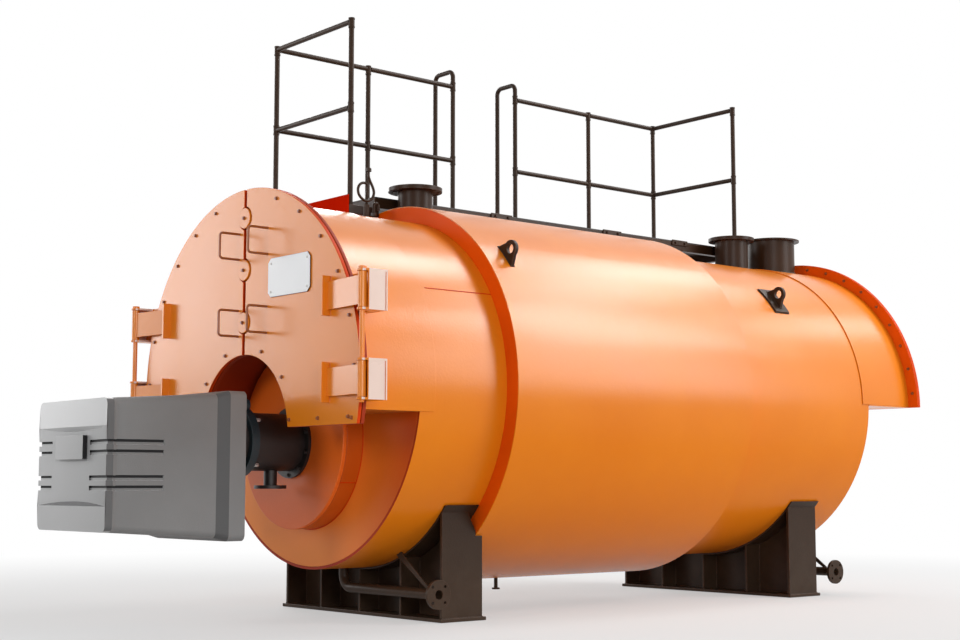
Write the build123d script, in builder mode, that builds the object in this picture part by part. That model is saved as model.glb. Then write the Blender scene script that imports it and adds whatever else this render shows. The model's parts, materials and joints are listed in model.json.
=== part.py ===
import os
from math import cos, floor, hypot, radians, sin, sqrt

from build123d import *

os.makedirs("parts", exist_ok=True)

# Pressure vessel, from the floor up; lengths run along Y from the middle of the front saddle
belly_height = 275.0
shell_radius = 1050.0
shell_wall = 16.0
shell_rear_y = 3484.0
tube_plate_y = -506.0
tube_plate_wall = 22.0
furnace_drop = 297.0
furnace_radius = 520.0
furnace_wall = 14.0
furnace_mouth_length = 135.0
burner_plate_wall = 25.0
fire_tube_radius = 31.0
fire_tube_pitch = 122.0
fire_tube_ligament = 24.0
fit_gap = 0.3
wear_gap = 0.8

# Insulated jacket
insulation = 100.0
cladding_wall = 6.0
jacket_front_y = 104.0
jacket_rear_y = 2117.0
cladding_clearance = 6.0

# Front smokebox and its two doors
door_face_y = -976.0
door_wall = 22.0
door_clearance = 5.0
frame_wall = 22.0
frame_width = 85.0
sheet = 8.0
wrapper_overlap = 93.0
smokebox_floor_drop = 160.0
smokebox_arch_gap = 25.0
door_floor_lap = 87.0
door_arch_radius = 466.0
door_arch_drop = 290.0
door_seam = 26.0
centre_post_width = 90.0
boss_radius = 60.0
boss_clearance = 7.0
boss_proud = 8.0
boss_low_margin = 185.0
boss_top_margin = 169.0
boss_count = 3

# Door hinges
hinge_reach = 74.0
hinge_standoff = 43.0
hinge_rises = (-23.0, 437.0)
hinge_bracket_height = 212.0
hinge_plate = 12.0
hinge_ear_radius = 28.0
hinge_ear_clearance = 30.0
hinge_cheek_reach = 41.0
hinge_cheek_setback = 14.0
hinge_bracket_back = 62.0
hinge_bracket_root = 33.0
hinge_groove = 9.0
hinge_groove_depth = 5.0
pin_radius = 14.0
pin_running_gap = 0.05
pin_overhang = 14.0
pin_head_radius = 22.0
barrel_radius = 23.0
barrel_end_gap = 2.0
strap_wall = 16.0
strap_height = 150.0
strap_inner_x = 860.0
strap_rib_height = 214.0
strap_rib_depth = 50.0

# Door handles and the blank plate
handle_rod_radius = 7.0
handle_standoff = 130.0
handle_height = 148.0
handle_bend = 20.0
handle_crown_drops = (775.0, 330.0)
right_handle_x = 243.0
left_handle_x = -60.0
plate_width = 416.0
plate_height = 219.0
plate_wall = 8.0
plate_corner = 26.0
plate_x = 470.0
plate_crown_drop = 545.0

# Rear smokebox hood
hood_overlap = 73.0
hood_rear_y = 3969.0
hood_flange_wall = 20.0
rear_cover_wall = 14.0

# Saddles
saddle_half_width = 785.0
saddle_length = 296.0
saddle_plate = 16.0
saddle_end_plate = 20.0
saddle_base = 20.0
saddle_overhang = 16.0
saddle_rib_spacing = 400.0
saddle_corner_run = 69.0
saddle_corner_drop = 126.0
wear_plate = 10.0
rear_saddle_y = 3052.0

# Nozzles along the crown
steam_nozzle_y = 262.0
steam_nozzle_rise = 141.0
safety_nozzle_y = 3276.0
safety_nozzle_rise = 231.0
flue_outlet_y = 3739.0
flue_outlet_rise = 247.7
steam_neck_radius = 109.55
safety_neck_radius = 122.25
nozzle_neck_wall = 8.0
nozzle_flange_radius = 170.0
nozzle_flange_wall = 26.0
nozzle_pitch_circle = 295.0
nozzle_hole_radius = 11.0
flue_neck_radius = 177.8
flue_neck_wall = 6.0
flue_flange_radius = 215.0
flue_flange_wall = 12.0
flue_pitch_circle = 398.0
flue_hole_radius = 7.0
crown_hole_count = 12
nozzle_depth = 30.0

# Gauge siphon on the front crown
siphon_y = -126.0
siphon_stub_radius = 17.0
siphon_stub_height = 78.0
siphon_rod_radius = 9.0
siphon_loop_radius = 64.0
siphon_loop_setback = 28.0
siphon_tail = 110.0
siphon_tail_radius = 7.0
test_cock_offset = 66.0
test_cock_height = 130.0
test_cock_radius = 11.0

# Lifting lugs
lug_angle = 48.0
front_lug_y = 274.0
rear_lug_y = 2796.0
lug_wall = 25.0
lug_head_radius = 52.0
lug_hole_radius = 28.0
lug_hole_height = 58.0
lug_foot_width = 170.0
lug_pad_wall = 12.0
lug_pad_margin = 60.0

# Blowdown pipes
drain_x = -100.0
drain_pipe_radius = 30.15
drain_pipe_wall = 4.0
drain_bend_radius = 76.0
drain_drop = 118.0
drain_flange_radius = 82.5
drain_flange_wall = 20.0
drain_pitch_circle = 125.0
drain_hole_radius = 9.0
drain_hole_count = 4
drain_face_x = 812.0
front_drain_y = -189.0
rear_drain_y = 3386.0
brace_width = 36.0
brace_wall = 10.0
brace_low_x = 732.0
brace_top_x = 430.0
jacket_drain_y = 929.0
jacket_drain_radius = 12.0
jacket_drain_length = 74.0
jacket_drain_cap_radius = 26.0
jacket_drain_cap_wall = 10.0

# Walkway deck over the far shoulder
deck_near_x = -184.0
deck_far_inset = 115.0
deck_front_y = 64.0
deck_rear_y = 3556.0
deck_clearance = 21.0
deck_beam_depth = 62.0
deck_beam_width = 50.0
deck_plate_wall = 8.0
deck_bearer_count = 5
deck_leg_inset = 175.0
deck_leg_width = 60.0
deck_leg_wall = 90.0
deck_arm_depth = 56.0
front_rail_y = -108.0
front_board_wall = 8.0

# Railing and ladder
rail_radius = 16.85
rail_height = 1102.0
mid_post_y = 646.0
rear_mid_post_y = 2794.0
ladder_front_y = 1413.0
ladder_rear_y = 2022.0
ladder_stand_off = 90.0
ladder_bend = 45.0
ladder_rise = 118.0
ladder_foot_height = 280.0
rung_radius = 12.5
rung_pitch = 280.0
ladder_bracket_width = 50.0
ladder_bracket_wall = 10.0
ladder_bracket_rises = (-425.0, 425.0)

# Burner on the furnace mouth
burner_rear_y = -1195.0
burner_front_y = -2012.0
burner_rear_width = 800.0
burner_front_width = 784.0
burner_rear_height = 804.0
burner_front_height = 684.0
burner_drop = 162.0
burner_corner = 36.0
burner_rim_depth = 100.0
burner_rim_slope = 70.0
burner_rim_step = 18.0
groove_rises = (-119.0, -66.0, 64.0, 117.0)
groove_width = 24.0
groove_depth = 9.0
groove_length = 290.0
groove_near_run = 222.0
groove_far_run = 134.0
cover_wall = 40.0
cover_top_band = 142.0
cover_low_band = 131.0
hollow_depth = 24.0
badge_width = 320.0
badge_height = 127.0
badge_wall = 25.0
badge_lift = 93.0
badge_x = -22.0
blast_drop = 20.0
blast_tube_radius = 165.0
blast_tube_wall = 10.0
burner_flange_radius = 202.0
burner_flange_wall = 50.0
burner_flange_gap = 165.0
burner_ear_radius = 34.0
blast_ring_radius = 205.0
blast_ring_wall = 18.0
gas_inlet_y = -782.0
gas_neck_radius = 38.05
gas_neck_wall = 4.0
gas_flange_radius = 92.5
gas_flange_wall = 20.0
gas_face_drop = 266.0
gas_pitch_circle = 145.0
gas_hole_radius = 9.0
gas_hole_count = 8

# Sizes that follow from the ones above
axis_height = belly_height + shell_radius
jacket_radius = shell_radius + insulation
wrapper_inner = shell_radius + fit_gap
wrapper_outer = wrapper_inner + sheet
door_radius = shell_radius + frame_width
furnace_height = axis_height - furnace_drop
smokebox_floor_height = axis_height - smokebox_floor_drop
door_bottom_height = smokebox_floor_height - door_floor_lap
door_crown_height = axis_height + door_radius
door_arch_height = axis_height - door_arch_drop
seam_foot_height = door_arch_height + door_arch_radius
boss_low_height = seam_foot_height + boss_low_margin
boss_pitch = (door_crown_height - boss_top_margin - boss_low_height) / (boss_count - 1)
boss_heights = [boss_low_height + i * boss_pitch for i in range(boss_count)]
hinge_heights = [axis_height + rise for rise in hinge_rises]
handle_heights = [door_crown_height - drop for drop in handle_crown_drops]
arch_inner = furnace_radius + smokebox_arch_gap
arch_outer = arch_inner + sheet
frame_front_y = door_face_y + door_wall + door_clearance
frame_back_y = frame_front_y + frame_wall
burner_plate_y = tube_plate_y - furnace_mouth_length
hinge_x = door_radius + hinge_reach
hinge_y = door_face_y - hinge_standoff
saddle_seat = shell_radius + wear_gap + wear_plate + fit_gap
steam_nozzle_top = axis_height + jacket_radius + steam_nozzle_rise
safety_nozzle_top = axis_height + shell_radius + safety_nozzle_rise
flue_outlet_top = axis_height + wrapper_outer + flue_outlet_rise
drain_height = belly_height - drain_drop
deck_beam_low = axis_height + jacket_radius + deck_clearance
deck_beam_top = deck_beam_low + deck_beam_depth
deck_top = deck_beam_top + deck_plate_wall
top_rail_height = deck_top + rail_height
mid_rail_height = deck_top + rail_height / 2
deck_far_x = deck_far_inset - jacket_radius
deck_leg_x = deck_far_x + deck_leg_inset
ladder_x = -jacket_radius - ladder_stand_off
blast_height = furnace_height - blast_drop
burner_centre_height = furnace_height - burner_drop
groove_heights = [burner_centre_height + rise for rise in groove_rises]
gas_face_height = blast_height - gas_face_drop
far_reach = 2 * door_radius


def keep(piece, name):
    piece.part.label = name
    export_step(piece.part, f"parts/{name}.step")


# Plane across the boiler at one station, facing the front, with X and Z as its own axes
def across(y):
    return Plane.XZ.offset(-y)


# Height of a round body over or under the axis at one side distance
def crown(radius, x):
    return axis_height + sqrt(radius**2 - x**2)


def belly(radius, x):
    return axis_height - sqrt(radius**2 - x**2)


# Round body along Y, added or taken away
def drum(y_start, y_end, radius, height=axis_height, mode=Mode.ADD):
    with BuildSketch(across(y_start)) as face:
        with Locations((0, height)):
            Circle(radius)
    extrude(face.sketch, amount=y_start - y_end, mode=mode)


# Everything under one height is taken away between two stations
def clear_below(height, y_start, y_end):
    with BuildSketch(across(y_start)) as face:
        with Locations((0, height)):
            Rectangle(2 * far_reach, 2 * far_reach, align=(Align.CENTER, Align.MAX))
    extrude(face.sketch, amount=y_start - y_end, mode=Mode.SUBTRACT)


# Upright round body, added or taken away
def upright(x, y, low, high, radius, mode=Mode.ADD):
    with BuildSketch(Plane.XY.offset(low)) as face:
        with Locations((x, y)):
            Circle(radius)
    extrude(face.sketch, amount=high - low, mode=mode)


# Block between two corners
def block(low, high, mode=Mode.ADD):
    with BuildSketch(Plane.XY.offset(low[2])) as face:
        with Locations((low[0], low[1])):
            Rectangle(high[0] - low[0], high[1] - low[1], align=(Align.MIN, Align.MIN))
    extrude(face.sketch, amount=high[2] - low[2], mode=mode)


# Outline shared by the doors and the frame behind them
def door_outline():
    with Locations((0, axis_height)):
        Circle(door_radius)
    with Locations((0, door_bottom_height)):
        Rectangle(2 * far_reach, far_reach, align=(Align.CENTER, Align.MIN), mode=Mode.INTERSECT)
    with Locations((0, door_arch_height)):
        Circle(door_arch_radius, mode=Mode.SUBTRACT)


# Inside of the smokebox, cut out of the frame
def smokebox_outline():
    with Locations((0, axis_height)):
        Circle(wrapper_inner)
    with Locations((0, smokebox_floor_height)):
        Rectangle(2 * far_reach, far_reach, align=(Align.CENTER, Align.MIN), mode=Mode.INTERSECT)
    with Locations((0, furnace_height)):
        Circle(arch_outer, mode=Mode.SUBTRACT)


# Shell with the two crown openings for its nozzles
with BuildPart() as boiler_shell:
    drum(tube_plate_y, shell_rear_y, shell_radius)
    drum(tube_plate_y, shell_rear_y, shell_radius - shell_wall, mode=Mode.SUBTRACT)
    for nozzle_y, neck in ((steam_nozzle_y, steam_neck_radius), (safety_nozzle_y, safety_neck_radius)):
        upright(0, nozzle_y, axis_height, axis_height + jacket_radius, neck + fit_gap, Mode.SUBTRACT)
keep(boiler_shell, "boiler_shell")


# Fire tube holes fill the plate between the smokebox floor, the arch and the shell
def tube_centres():
    edge = fire_tube_radius + fire_tube_ligament
    rise = fire_tube_pitch * sin(radians(60))
    field = shell_radius - shell_wall - edge
    rows = floor((axis_height + field - smokebox_floor_height - edge) / rise)
    columns = floor(field / fire_tube_pitch)
    for row in range(rows + 1):
        z = smokebox_floor_height + edge + row * rise
        for column in range(-columns, columns + 1):
            x = (column + row % 2 / 2) * fire_tube_pitch
            inside_shell = hypot(x, z - axis_height) < field
            if inside_shell and hypot(x, z - furnace_height) > arch_outer + edge:
                yield x, z


with BuildPart() as front_tube_plate:
    drum(tube_plate_y, tube_plate_y + tube_plate_wall, shell_radius - shell_wall - fit_gap)
    drum(tube_plate_y, tube_plate_y + tube_plate_wall, furnace_radius - furnace_wall, furnace_height,
         Mode.SUBTRACT)
    with BuildSketch(across(tube_plate_y)):
        with Locations(*tube_centres()):
            Circle(fire_tube_radius)
    extrude(amount=-tube_plate_wall, mode=Mode.SUBTRACT)
keep(front_tube_plate, "front_tube_plate")

with BuildPart() as rear_tube_plate:
    drum(shell_rear_y - tube_plate_wall, shell_rear_y, shell_radius - shell_wall - fit_gap)
keep(rear_tube_plate, "rear_tube_plate")

with BuildPart() as furnace_mouth:
    drum(burner_plate_y + burner_plate_wall, tube_plate_y, furnace_radius, furnace_height)
    drum(burner_plate_y + burner_plate_wall, tube_plate_y, furnace_radius - furnace_wall, furnace_height,
         Mode.SUBTRACT)
keep(furnace_mouth, "furnace_mouth")

with BuildPart() as burner_plate:
    drum(burner_plate_y, burner_plate_y + burner_plate_wall, furnace_radius, furnace_height)
    drum(burner_plate_y, burner_plate_y + burner_plate_wall, blast_tube_radius + fit_gap, blast_height,
         Mode.SUBTRACT)
keep(burner_plate, "burner_plate")


# Lug plates stand on the shell at an angle from the top, with their own tangent and radius as axes
def lug_plane(angle, y):
    turn = radians(angle)
    return Plane(origin=(0, y, axis_height), x_dir=(cos(turn), 0, -sin(turn)), z_dir=(0, -1, 0))


with BuildPart() as jacket_cladding:
    drum(jacket_front_y, jacket_rear_y, jacket_radius)
    drum(jacket_front_y, jacket_rear_y, jacket_radius - cladding_wall, mode=Mode.SUBTRACT)
    upright(0, steam_nozzle_y, axis_height, axis_height + far_reach, steam_neck_radius + cladding_clearance,
            Mode.SUBTRACT)
    for lug_side in (lug_angle, -lug_angle):
        with BuildSketch(lug_plane(lug_side, front_lug_y - lug_wall / 2 - cladding_clearance)):
            Rectangle(lug_foot_width + 2 * cladding_clearance, far_reach, align=(Align.CENTER, Align.MIN))
        extrude(amount=-lug_wall - 2 * cladding_clearance, mode=Mode.SUBTRACT)
keep(jacket_cladding, "jacket_cladding")

with BuildPart() as jacket_end_rings:
    for ring_y in (jacket_front_y, jacket_rear_y - cladding_wall):
        drum(ring_y, ring_y + cladding_wall, jacket_radius - cladding_wall - fit_gap)
        drum(ring_y, ring_y + cladding_wall, shell_radius + fit_gap, mode=Mode.SUBTRACT)
keep(jacket_end_rings, "jacket_end_rings")

# Smokebox walls: round wrapper, arch over the furnace and the two floors between them
wrapper_rear_y = tube_plate_y + wrapper_overlap
with BuildPart() as smokebox_wrapper:
    drum(frame_back_y, wrapper_rear_y, wrapper_outer)
    drum(frame_back_y, wrapper_rear_y, wrapper_inner, mode=Mode.SUBTRACT)
    clear_below(smokebox_floor_height - sheet, frame_back_y, wrapper_rear_y)
keep(smokebox_wrapper, "smokebox_wrapper")

with BuildPart() as smokebox_arch:
    drum(frame_back_y, tube_plate_y, arch_outer, furnace_height)
    drum(frame_back_y, tube_plate_y, arch_inner, furnace_height, Mode.SUBTRACT)
    clear_below(smokebox_floor_height - sheet, frame_back_y, tube_plate_y)
keep(smokebox_arch, "smokebox_arch")

with BuildPart() as smokebox_floors:
    drum(frame_back_y, tube_plate_y, wrapper_inner - fit_gap)
    clear_below(smokebox_floor_height - sheet, frame_back_y, tube_plate_y)
    block((-far_reach, frame_back_y, smokebox_floor_height),
          (far_reach, tube_plate_y, smokebox_floor_height + far_reach), Mode.SUBTRACT)
    drum(frame_back_y, tube_plate_y, arch_outer + fit_gap, furnace_height, Mode.SUBTRACT)
keep(smokebox_floors, "smokebox_floors")

with BuildPart() as door_frame:
    with BuildSketch(across(frame_front_y)):
        door_outline()
    extrude(amount=-frame_wall)
    with BuildSketch(across(frame_front_y)):
        smokebox_outline()
    extrude(amount=-frame_wall, mode=Mode.SUBTRACT)
    post_low = seam_foot_height + frame_width / 2
    with BuildSketch(across(frame_front_y)):
        with Locations((0, post_low)):
            Rectangle(centre_post_width, crown(shell_radius, 0) + frame_width / 2 - post_low,
                      align=(Align.CENTER, Align.MIN))
    extrude(amount=-frame_wall)
keep(door_frame, "door_frame")

# Round bosses on the centre post carry the seam bolts through notches in both doors
with BuildPart() as seam_bosses:
    with BuildSketch(across(frame_front_y)):
        with Locations(*[(0, z) for z in boss_heights]):
            Circle(boss_radius)
    extrude(amount=frame_front_y - door_face_y + boss_proud)
keep(seam_bosses, "seam_bosses")


# Half door on one side of the seam, notched round the bosses
def build_door(side):
    with BuildPart() as door:
        with BuildSketch(across(door_face_y)):
            door_outline()
            with Locations((side * (door_seam + far_reach) / 2, axis_height)):
                Rectangle(far_reach, 2 * far_reach, mode=Mode.INTERSECT)
            with Locations(*[(0, z) for z in boss_heights]):
                Circle(boss_radius + boss_clearance, mode=Mode.SUBTRACT)
        extrude(amount=-door_wall)
    return door


right_door = build_door(1)
keep(right_door, "right_door")
left_door = build_door(-1)
keep(left_door, "left_door")

# Hinge brackets on the smokebox: two ears round the pin, a web behind the frame and a grooved cheek
bracket_outer_x = hinge_x + hinge_cheek_reach
bracket_reach = max(hinge_rises) + hinge_bracket_height / 2
bracket_root_x = sqrt(wrapper_outer**2 - bracket_reach**2) - hinge_bracket_root
bracket_back_y = frame_back_y + hinge_bracket_back - frame_wall
with BuildPart() as hinge_brackets:
    for side in (1, -1):
        for mid in hinge_heights:
            ear_low = mid - hinge_bracket_height / 2
            ear_high = mid + hinge_bracket_height / 2
            for ear in (ear_low, ear_high - hinge_plate):
                with BuildSketch(Plane.XY.offset(ear)):
                    with BuildLine():
                        Polyline(
                            (side * (door_radius + hinge_ear_clearance), hinge_y),
                            (side * (hinge_x + hinge_ear_radius), hinge_y),
                            (side * bracket_outer_x, hinge_y + hinge_cheek_setback),
                            (side * bracket_outer_x, bracket_back_y),
                            (side * bracket_root_x, bracket_back_y),
                            (side * bracket_root_x, frame_back_y),
                            (side * (door_radius + hinge_ear_clearance), frame_back_y),
                            close=True,
                        )
                    make_face()
                    with Locations((side * hinge_x, hinge_y)):
                        Circle(hinge_ear_radius)
                extrude(amount=hinge_plate)
            inner, outer = sorted((side * bracket_root_x, side * bracket_outer_x))
            block((inner, frame_back_y, ear_low), (outer, frame_back_y + hinge_plate, ear_high))
            inner, outer = sorted((side * (bracket_outer_x - hinge_plate), side * bracket_outer_x))
            block((inner, hinge_y + hinge_cheek_setback, ear_low), (outer, bracket_back_y, ear_high))
            inner, outer = sorted((side * (bracket_outer_x - hinge_groove_depth), side * far_reach))
            block((inner, bracket_back_y - 2 * hinge_groove, ear_low),
                  (outer, bracket_back_y - hinge_groove, ear_high - hinge_plate), Mode.SUBTRACT)
            upright(side * hinge_x, hinge_y, ear_low, ear_high, pin_radius + fit_gap, Mode.SUBTRACT)
    drum(frame_front_y, bracket_back_y + frame_wall, wrapper_outer + fit_gap, mode=Mode.SUBTRACT)
keep(hinge_brackets, "hinge_brackets")

pin_low = min(hinge_heights) - hinge_bracket_height / 2 - pin_overhang
pin_high = max(hinge_heights) + hinge_bracket_height / 2
with BuildPart() as hinge_pins:
    for side in (1, -1):
        upright(side * hinge_x, hinge_y, pin_low, pin_high, pin_radius)
        upright(side * hinge_x, hinge_y, pin_high, pin_high + pin_overhang, pin_head_radius)
keep(hinge_pins, "hinge_pins")


# Strap from the door's face out to its barrel round the pin, with an inner rib standing on the door
def build_straps(side):
    with BuildPart() as straps:
        for mid in hinge_heights:
            barrel_low = mid - hinge_bracket_height / 2 + hinge_plate + barrel_end_gap
            barrel_high = mid + hinge_bracket_height / 2 - hinge_plate - barrel_end_gap
            with BuildSketch(Plane.XY.offset(mid - strap_height / 2)) as strap:
                with BuildLine():
                    Polyline(
                        (side * strap_inner_x, door_face_y),
                        (side * strap_inner_x, door_face_y - strap_wall),
                        (side * hinge_x, hinge_y - strap_wall / 2),
                        (side * hinge_x, hinge_y + strap_wall / 2),
                        close=True,
                    )
                make_face()
            extrude(strap.sketch, amount=strap_height)
            inner, outer = sorted((side * strap_inner_x, side * (strap_inner_x - strap_wall)))
            block((inner, door_face_y - strap_rib_depth, mid - strap_rib_height / 2),
                  (outer, door_face_y, mid + strap_rib_height / 2))
            upright(side * hinge_x, hinge_y, barrel_low, barrel_high, barrel_radius)
            upright(side * hinge_x, hinge_y, barrel_low, barrel_high, pin_radius + pin_running_gap,
                    Mode.SUBTRACT)
    return straps


right_hinge_straps = build_straps(1)
keep(right_hinge_straps, "right_hinge_straps")
left_hinge_straps = build_straps(-1)
keep(left_hinge_straps, "left_hinge_straps")


# Pair of bent rod handles standing off the door
def build_handles(x):
    grip_y = door_face_y - handle_standoff
    with BuildPart() as handles:
        for mid in handle_heights:
            with BuildLine(Plane.YZ.offset(x)) as rod:
                FilletPolyline(
                    (door_face_y, mid - handle_height / 2),
                    (grip_y, mid - handle_height / 2),
                    (grip_y, mid + handle_height / 2),
                    (door_face_y, mid + handle_height / 2),
                    radius=handle_bend,
                )
            with BuildSketch(Plane(origin=rod.line @ 0, z_dir=rod.line % 0)):
                Circle(handle_rod_radius)
            sweep(path=rod.line)
    return handles


right_handles = build_handles(right_handle_x)
keep(right_handles, "right_handles")
left_handles = build_handles(left_handle_x)
keep(left_handles, "left_handles")

with BuildPart() as name_plate:
    with BuildSketch(across(door_face_y)) as plate_face:
        with Locations((plate_x, door_crown_height - plate_crown_drop)):
            Rectangle(plate_width, plate_height)
        chamfer(plate_face.vertices(), plate_corner)
    extrude(amount=plate_wall)
keep(name_plate, "name_plate")

# Rear hood: half round sheet on a floor, with a bolted flange and cover at its end
hood_front_y = shell_rear_y - hood_overlap
hood_flange_y = hood_rear_y - hood_flange_wall
with BuildPart() as rear_hood:
    drum(hood_front_y, hood_flange_y, wrapper_outer)
    drum(hood_front_y, hood_flange_y, wrapper_inner, mode=Mode.SUBTRACT)
    clear_below(axis_height, hood_front_y, hood_flange_y)
    upright(0, flue_outlet_y, axis_height, axis_height + far_reach, flue_neck_radius + fit_gap,
            Mode.SUBTRACT)
keep(rear_hood, "rear_hood")

with BuildPart() as rear_hood_floor:
    block((-wrapper_outer, shell_rear_y, axis_height - sheet), (wrapper_outer, hood_flange_y, axis_height))
keep(rear_hood_floor, "rear_hood_floor")

with BuildPart() as rear_hood_flange:
    drum(hood_flange_y, hood_rear_y, door_radius)
    drum(hood_flange_y, hood_rear_y, wrapper_inner, mode=Mode.SUBTRACT)
    clear_below(axis_height - sheet, hood_flange_y, hood_rear_y)
    block((-wrapper_outer, hood_flange_y, axis_height - sheet), (wrapper_outer, hood_rear_y, axis_height))
keep(rear_hood_flange, "rear_hood_flange")

with BuildPart() as rear_cover:
    drum(hood_rear_y, hood_rear_y + rear_cover_wall, door_radius)
    clear_below(axis_height - sheet, hood_rear_y, hood_rear_y + rear_cover_wall)
keep(rear_cover, "rear_cover")


# Crown nozzle: neck with a drilled flange on top
def build_nozzle(y, low, top, neck, wall, flange, flange_wall, pitch_circle, hole):
    with BuildPart() as nozzle:
        upright(0, y, low, top, neck)
        upright(0, y, top - flange_wall, top, flange)
        upright(0, y, low, top, neck - wall, Mode.SUBTRACT)
        with BuildSketch(Plane.XY.offset(top)):
            with Locations((0, y)):
                with PolarLocations(pitch_circle / 2, crown_hole_count, 180 / crown_hole_count):
                    Circle(hole)
        extrude(amount=-flange_wall, mode=Mode.SUBTRACT)
    return nozzle


nozzle_low = axis_height + shell_radius - nozzle_depth
steam_nozzle = build_nozzle(steam_nozzle_y, nozzle_low, steam_nozzle_top, steam_neck_radius,
                            nozzle_neck_wall, nozzle_flange_radius, nozzle_flange_wall,
                            nozzle_pitch_circle, nozzle_hole_radius)
keep(steam_nozzle, "steam_nozzle")
safety_nozzle = build_nozzle(safety_nozzle_y, nozzle_low, safety_nozzle_top, safety_neck_radius,
                             nozzle_neck_wall, nozzle_flange_radius, nozzle_flange_wall,
                             nozzle_pitch_circle, nozzle_hole_radius)
keep(safety_nozzle, "safety_nozzle")
flue_outlet = build_nozzle(flue_outlet_y, nozzle_low, flue_outlet_top, flue_neck_radius, flue_neck_wall,
                           flue_flange_radius, flue_flange_wall, flue_pitch_circle, flue_hole_radius)
keep(flue_outlet, "flue_outlet")

# Gauge siphon: stub, round loop set forward of it and tail, with a test cock stem behind
siphon_low = axis_height + shell_radius + fit_gap
loop_y = siphon_y - siphon_loop_setback
loop_mid = siphon_low + siphon_stub_height + sqrt(siphon_loop_radius**2 - siphon_loop_setback**2)
loop_top = loop_mid + siphon_loop_radius
with BuildPart() as siphon:
    upright(0, siphon_y, siphon_low, siphon_low + siphon_stub_height, siphon_stub_radius)
    with BuildSketch(across(loop_y)):
        with Locations((0, loop_top)):
            Circle(siphon_rod_radius)
    revolve(axis=Axis((0, loop_y, loop_mid), (1, 0, 0)))
    upright(0, loop_y, loop_top, loop_top + siphon_tail, siphon_tail_radius)
    upright(0, siphon_y + test_cock_offset, siphon_low, siphon_low + test_cock_height, test_cock_radius)
keep(siphon, "siphon")


# Rounded lifting plate with one hole, from its foot radius to its eye
def add_lug(angle, y, foot):
    eye = foot + lug_hole_height
    with BuildSketch(lug_plane(angle, y - lug_wall / 2)) as face:
        with BuildLine():
            Polyline((-lug_foot_width / 2, foot), (lug_foot_width / 2, foot), (lug_head_radius, eye),
                     (-lug_head_radius, eye), close=True)
        make_face()
        with Locations((0, eye)):
            Circle(lug_head_radius)
            Circle(lug_hole_radius, mode=Mode.SUBTRACT)
    extrude(face.sketch, amount=-lug_wall)


# Curved pad under a rear lug
def add_lug_pad(angle, y):
    half_width = lug_foot_width / 2 + lug_pad_margin / 2
    half_length = lug_wall / 2 + lug_pad_margin
    pad_inner = shell_radius + fit_gap
    with BuildSketch(lug_plane(angle, y - half_length)) as face:
        Circle(pad_inner + lug_pad_wall)
        Circle(pad_inner, mode=Mode.SUBTRACT)
        Rectangle(2 * half_width, far_reach, align=(Align.CENTER, Align.MIN), mode=Mode.INTERSECT)
    extrude(face.sketch, amount=-2 * half_length)


with BuildPart() as front_lifting_lugs:
    for lug_side in (lug_angle, -lug_angle):
        with BuildSketch(lug_plane(lug_side, front_lug_y - lug_wall / 2)) as stem:
            with Locations((0, shell_radius)):
                Rectangle(lug_foot_width, insulation, align=(Align.CENTER, Align.MIN))
        extrude(stem.sketch, amount=-lug_wall)
        add_lug(lug_side, front_lug_y, jacket_radius)
    drum(front_lug_y - lug_wall, front_lug_y + lug_wall, shell_radius + fit_gap, mode=Mode.SUBTRACT)
keep(front_lifting_lugs, "front_lifting_lugs")

with BuildPart() as rear_lifting_lugs:
    for lug_side in (lug_angle, -lug_angle):
        add_lug_pad(lug_side, rear_lug_y)
        add_lug(lug_side, rear_lug_y, shell_radius + lug_pad_wall / 2)
    drum(rear_lug_y - lug_wall, rear_lug_y + lug_wall, shell_radius + fit_gap, mode=Mode.SUBTRACT)
keep(rear_lifting_lugs, "rear_lifting_lugs")


# Welded saddle: base plate, cross web, ribs and end plates, all cut to the wear plate
def build_saddle(y_mid):
    y_start = y_mid - saddle_length / 2
    y_end = y_mid + saddle_length / 2
    top = belly(saddle_seat, saddle_half_width) + saddle_base
    with BuildPart() as saddle:
        block((-saddle_half_width - saddle_overhang, y_start - saddle_overhang, 0),
              (saddle_half_width + saddle_overhang, y_end + saddle_overhang, saddle_base))
        block((-saddle_half_width, y_mid - saddle_plate / 2, saddle_base),
              (saddle_half_width, y_mid + saddle_plate / 2, top))
        for rib in (-1, 0, 1):
            rib_x = rib * saddle_rib_spacing
            block((rib_x - saddle_plate / 2, y_start, saddle_base), (rib_x + saddle_plate / 2, y_end, top))
        for end_x in (-saddle_half_width, saddle_half_width - saddle_end_plate):
            block((end_x, y_start, saddle_base), (end_x + saddle_end_plate, y_end, top))
        drum(y_start, y_end, saddle_seat, mode=Mode.SUBTRACT)
        if y_start < jacket_front_y < y_end:
            drum(jacket_front_y - cladding_clearance, y_end, jacket_radius + cladding_clearance,
                 mode=Mode.SUBTRACT)
            corner_y = jacket_front_y - cladding_clearance
            with BuildSketch(Plane.YZ.offset(-far_reach)) as corner:
                with BuildLine():
                    Polyline((corner_y - saddle_corner_run, top), (corner_y, top),
                             (corner_y, top - saddle_corner_drop), close=True)
                make_face()
            extrude(corner.sketch, amount=2 * far_reach, mode=Mode.SUBTRACT)
    return saddle


front_saddle = build_saddle(0)
keep(front_saddle, "front_saddle")
rear_saddle = build_saddle(rear_saddle_y)
keep(rear_saddle, "rear_saddle")

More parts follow.
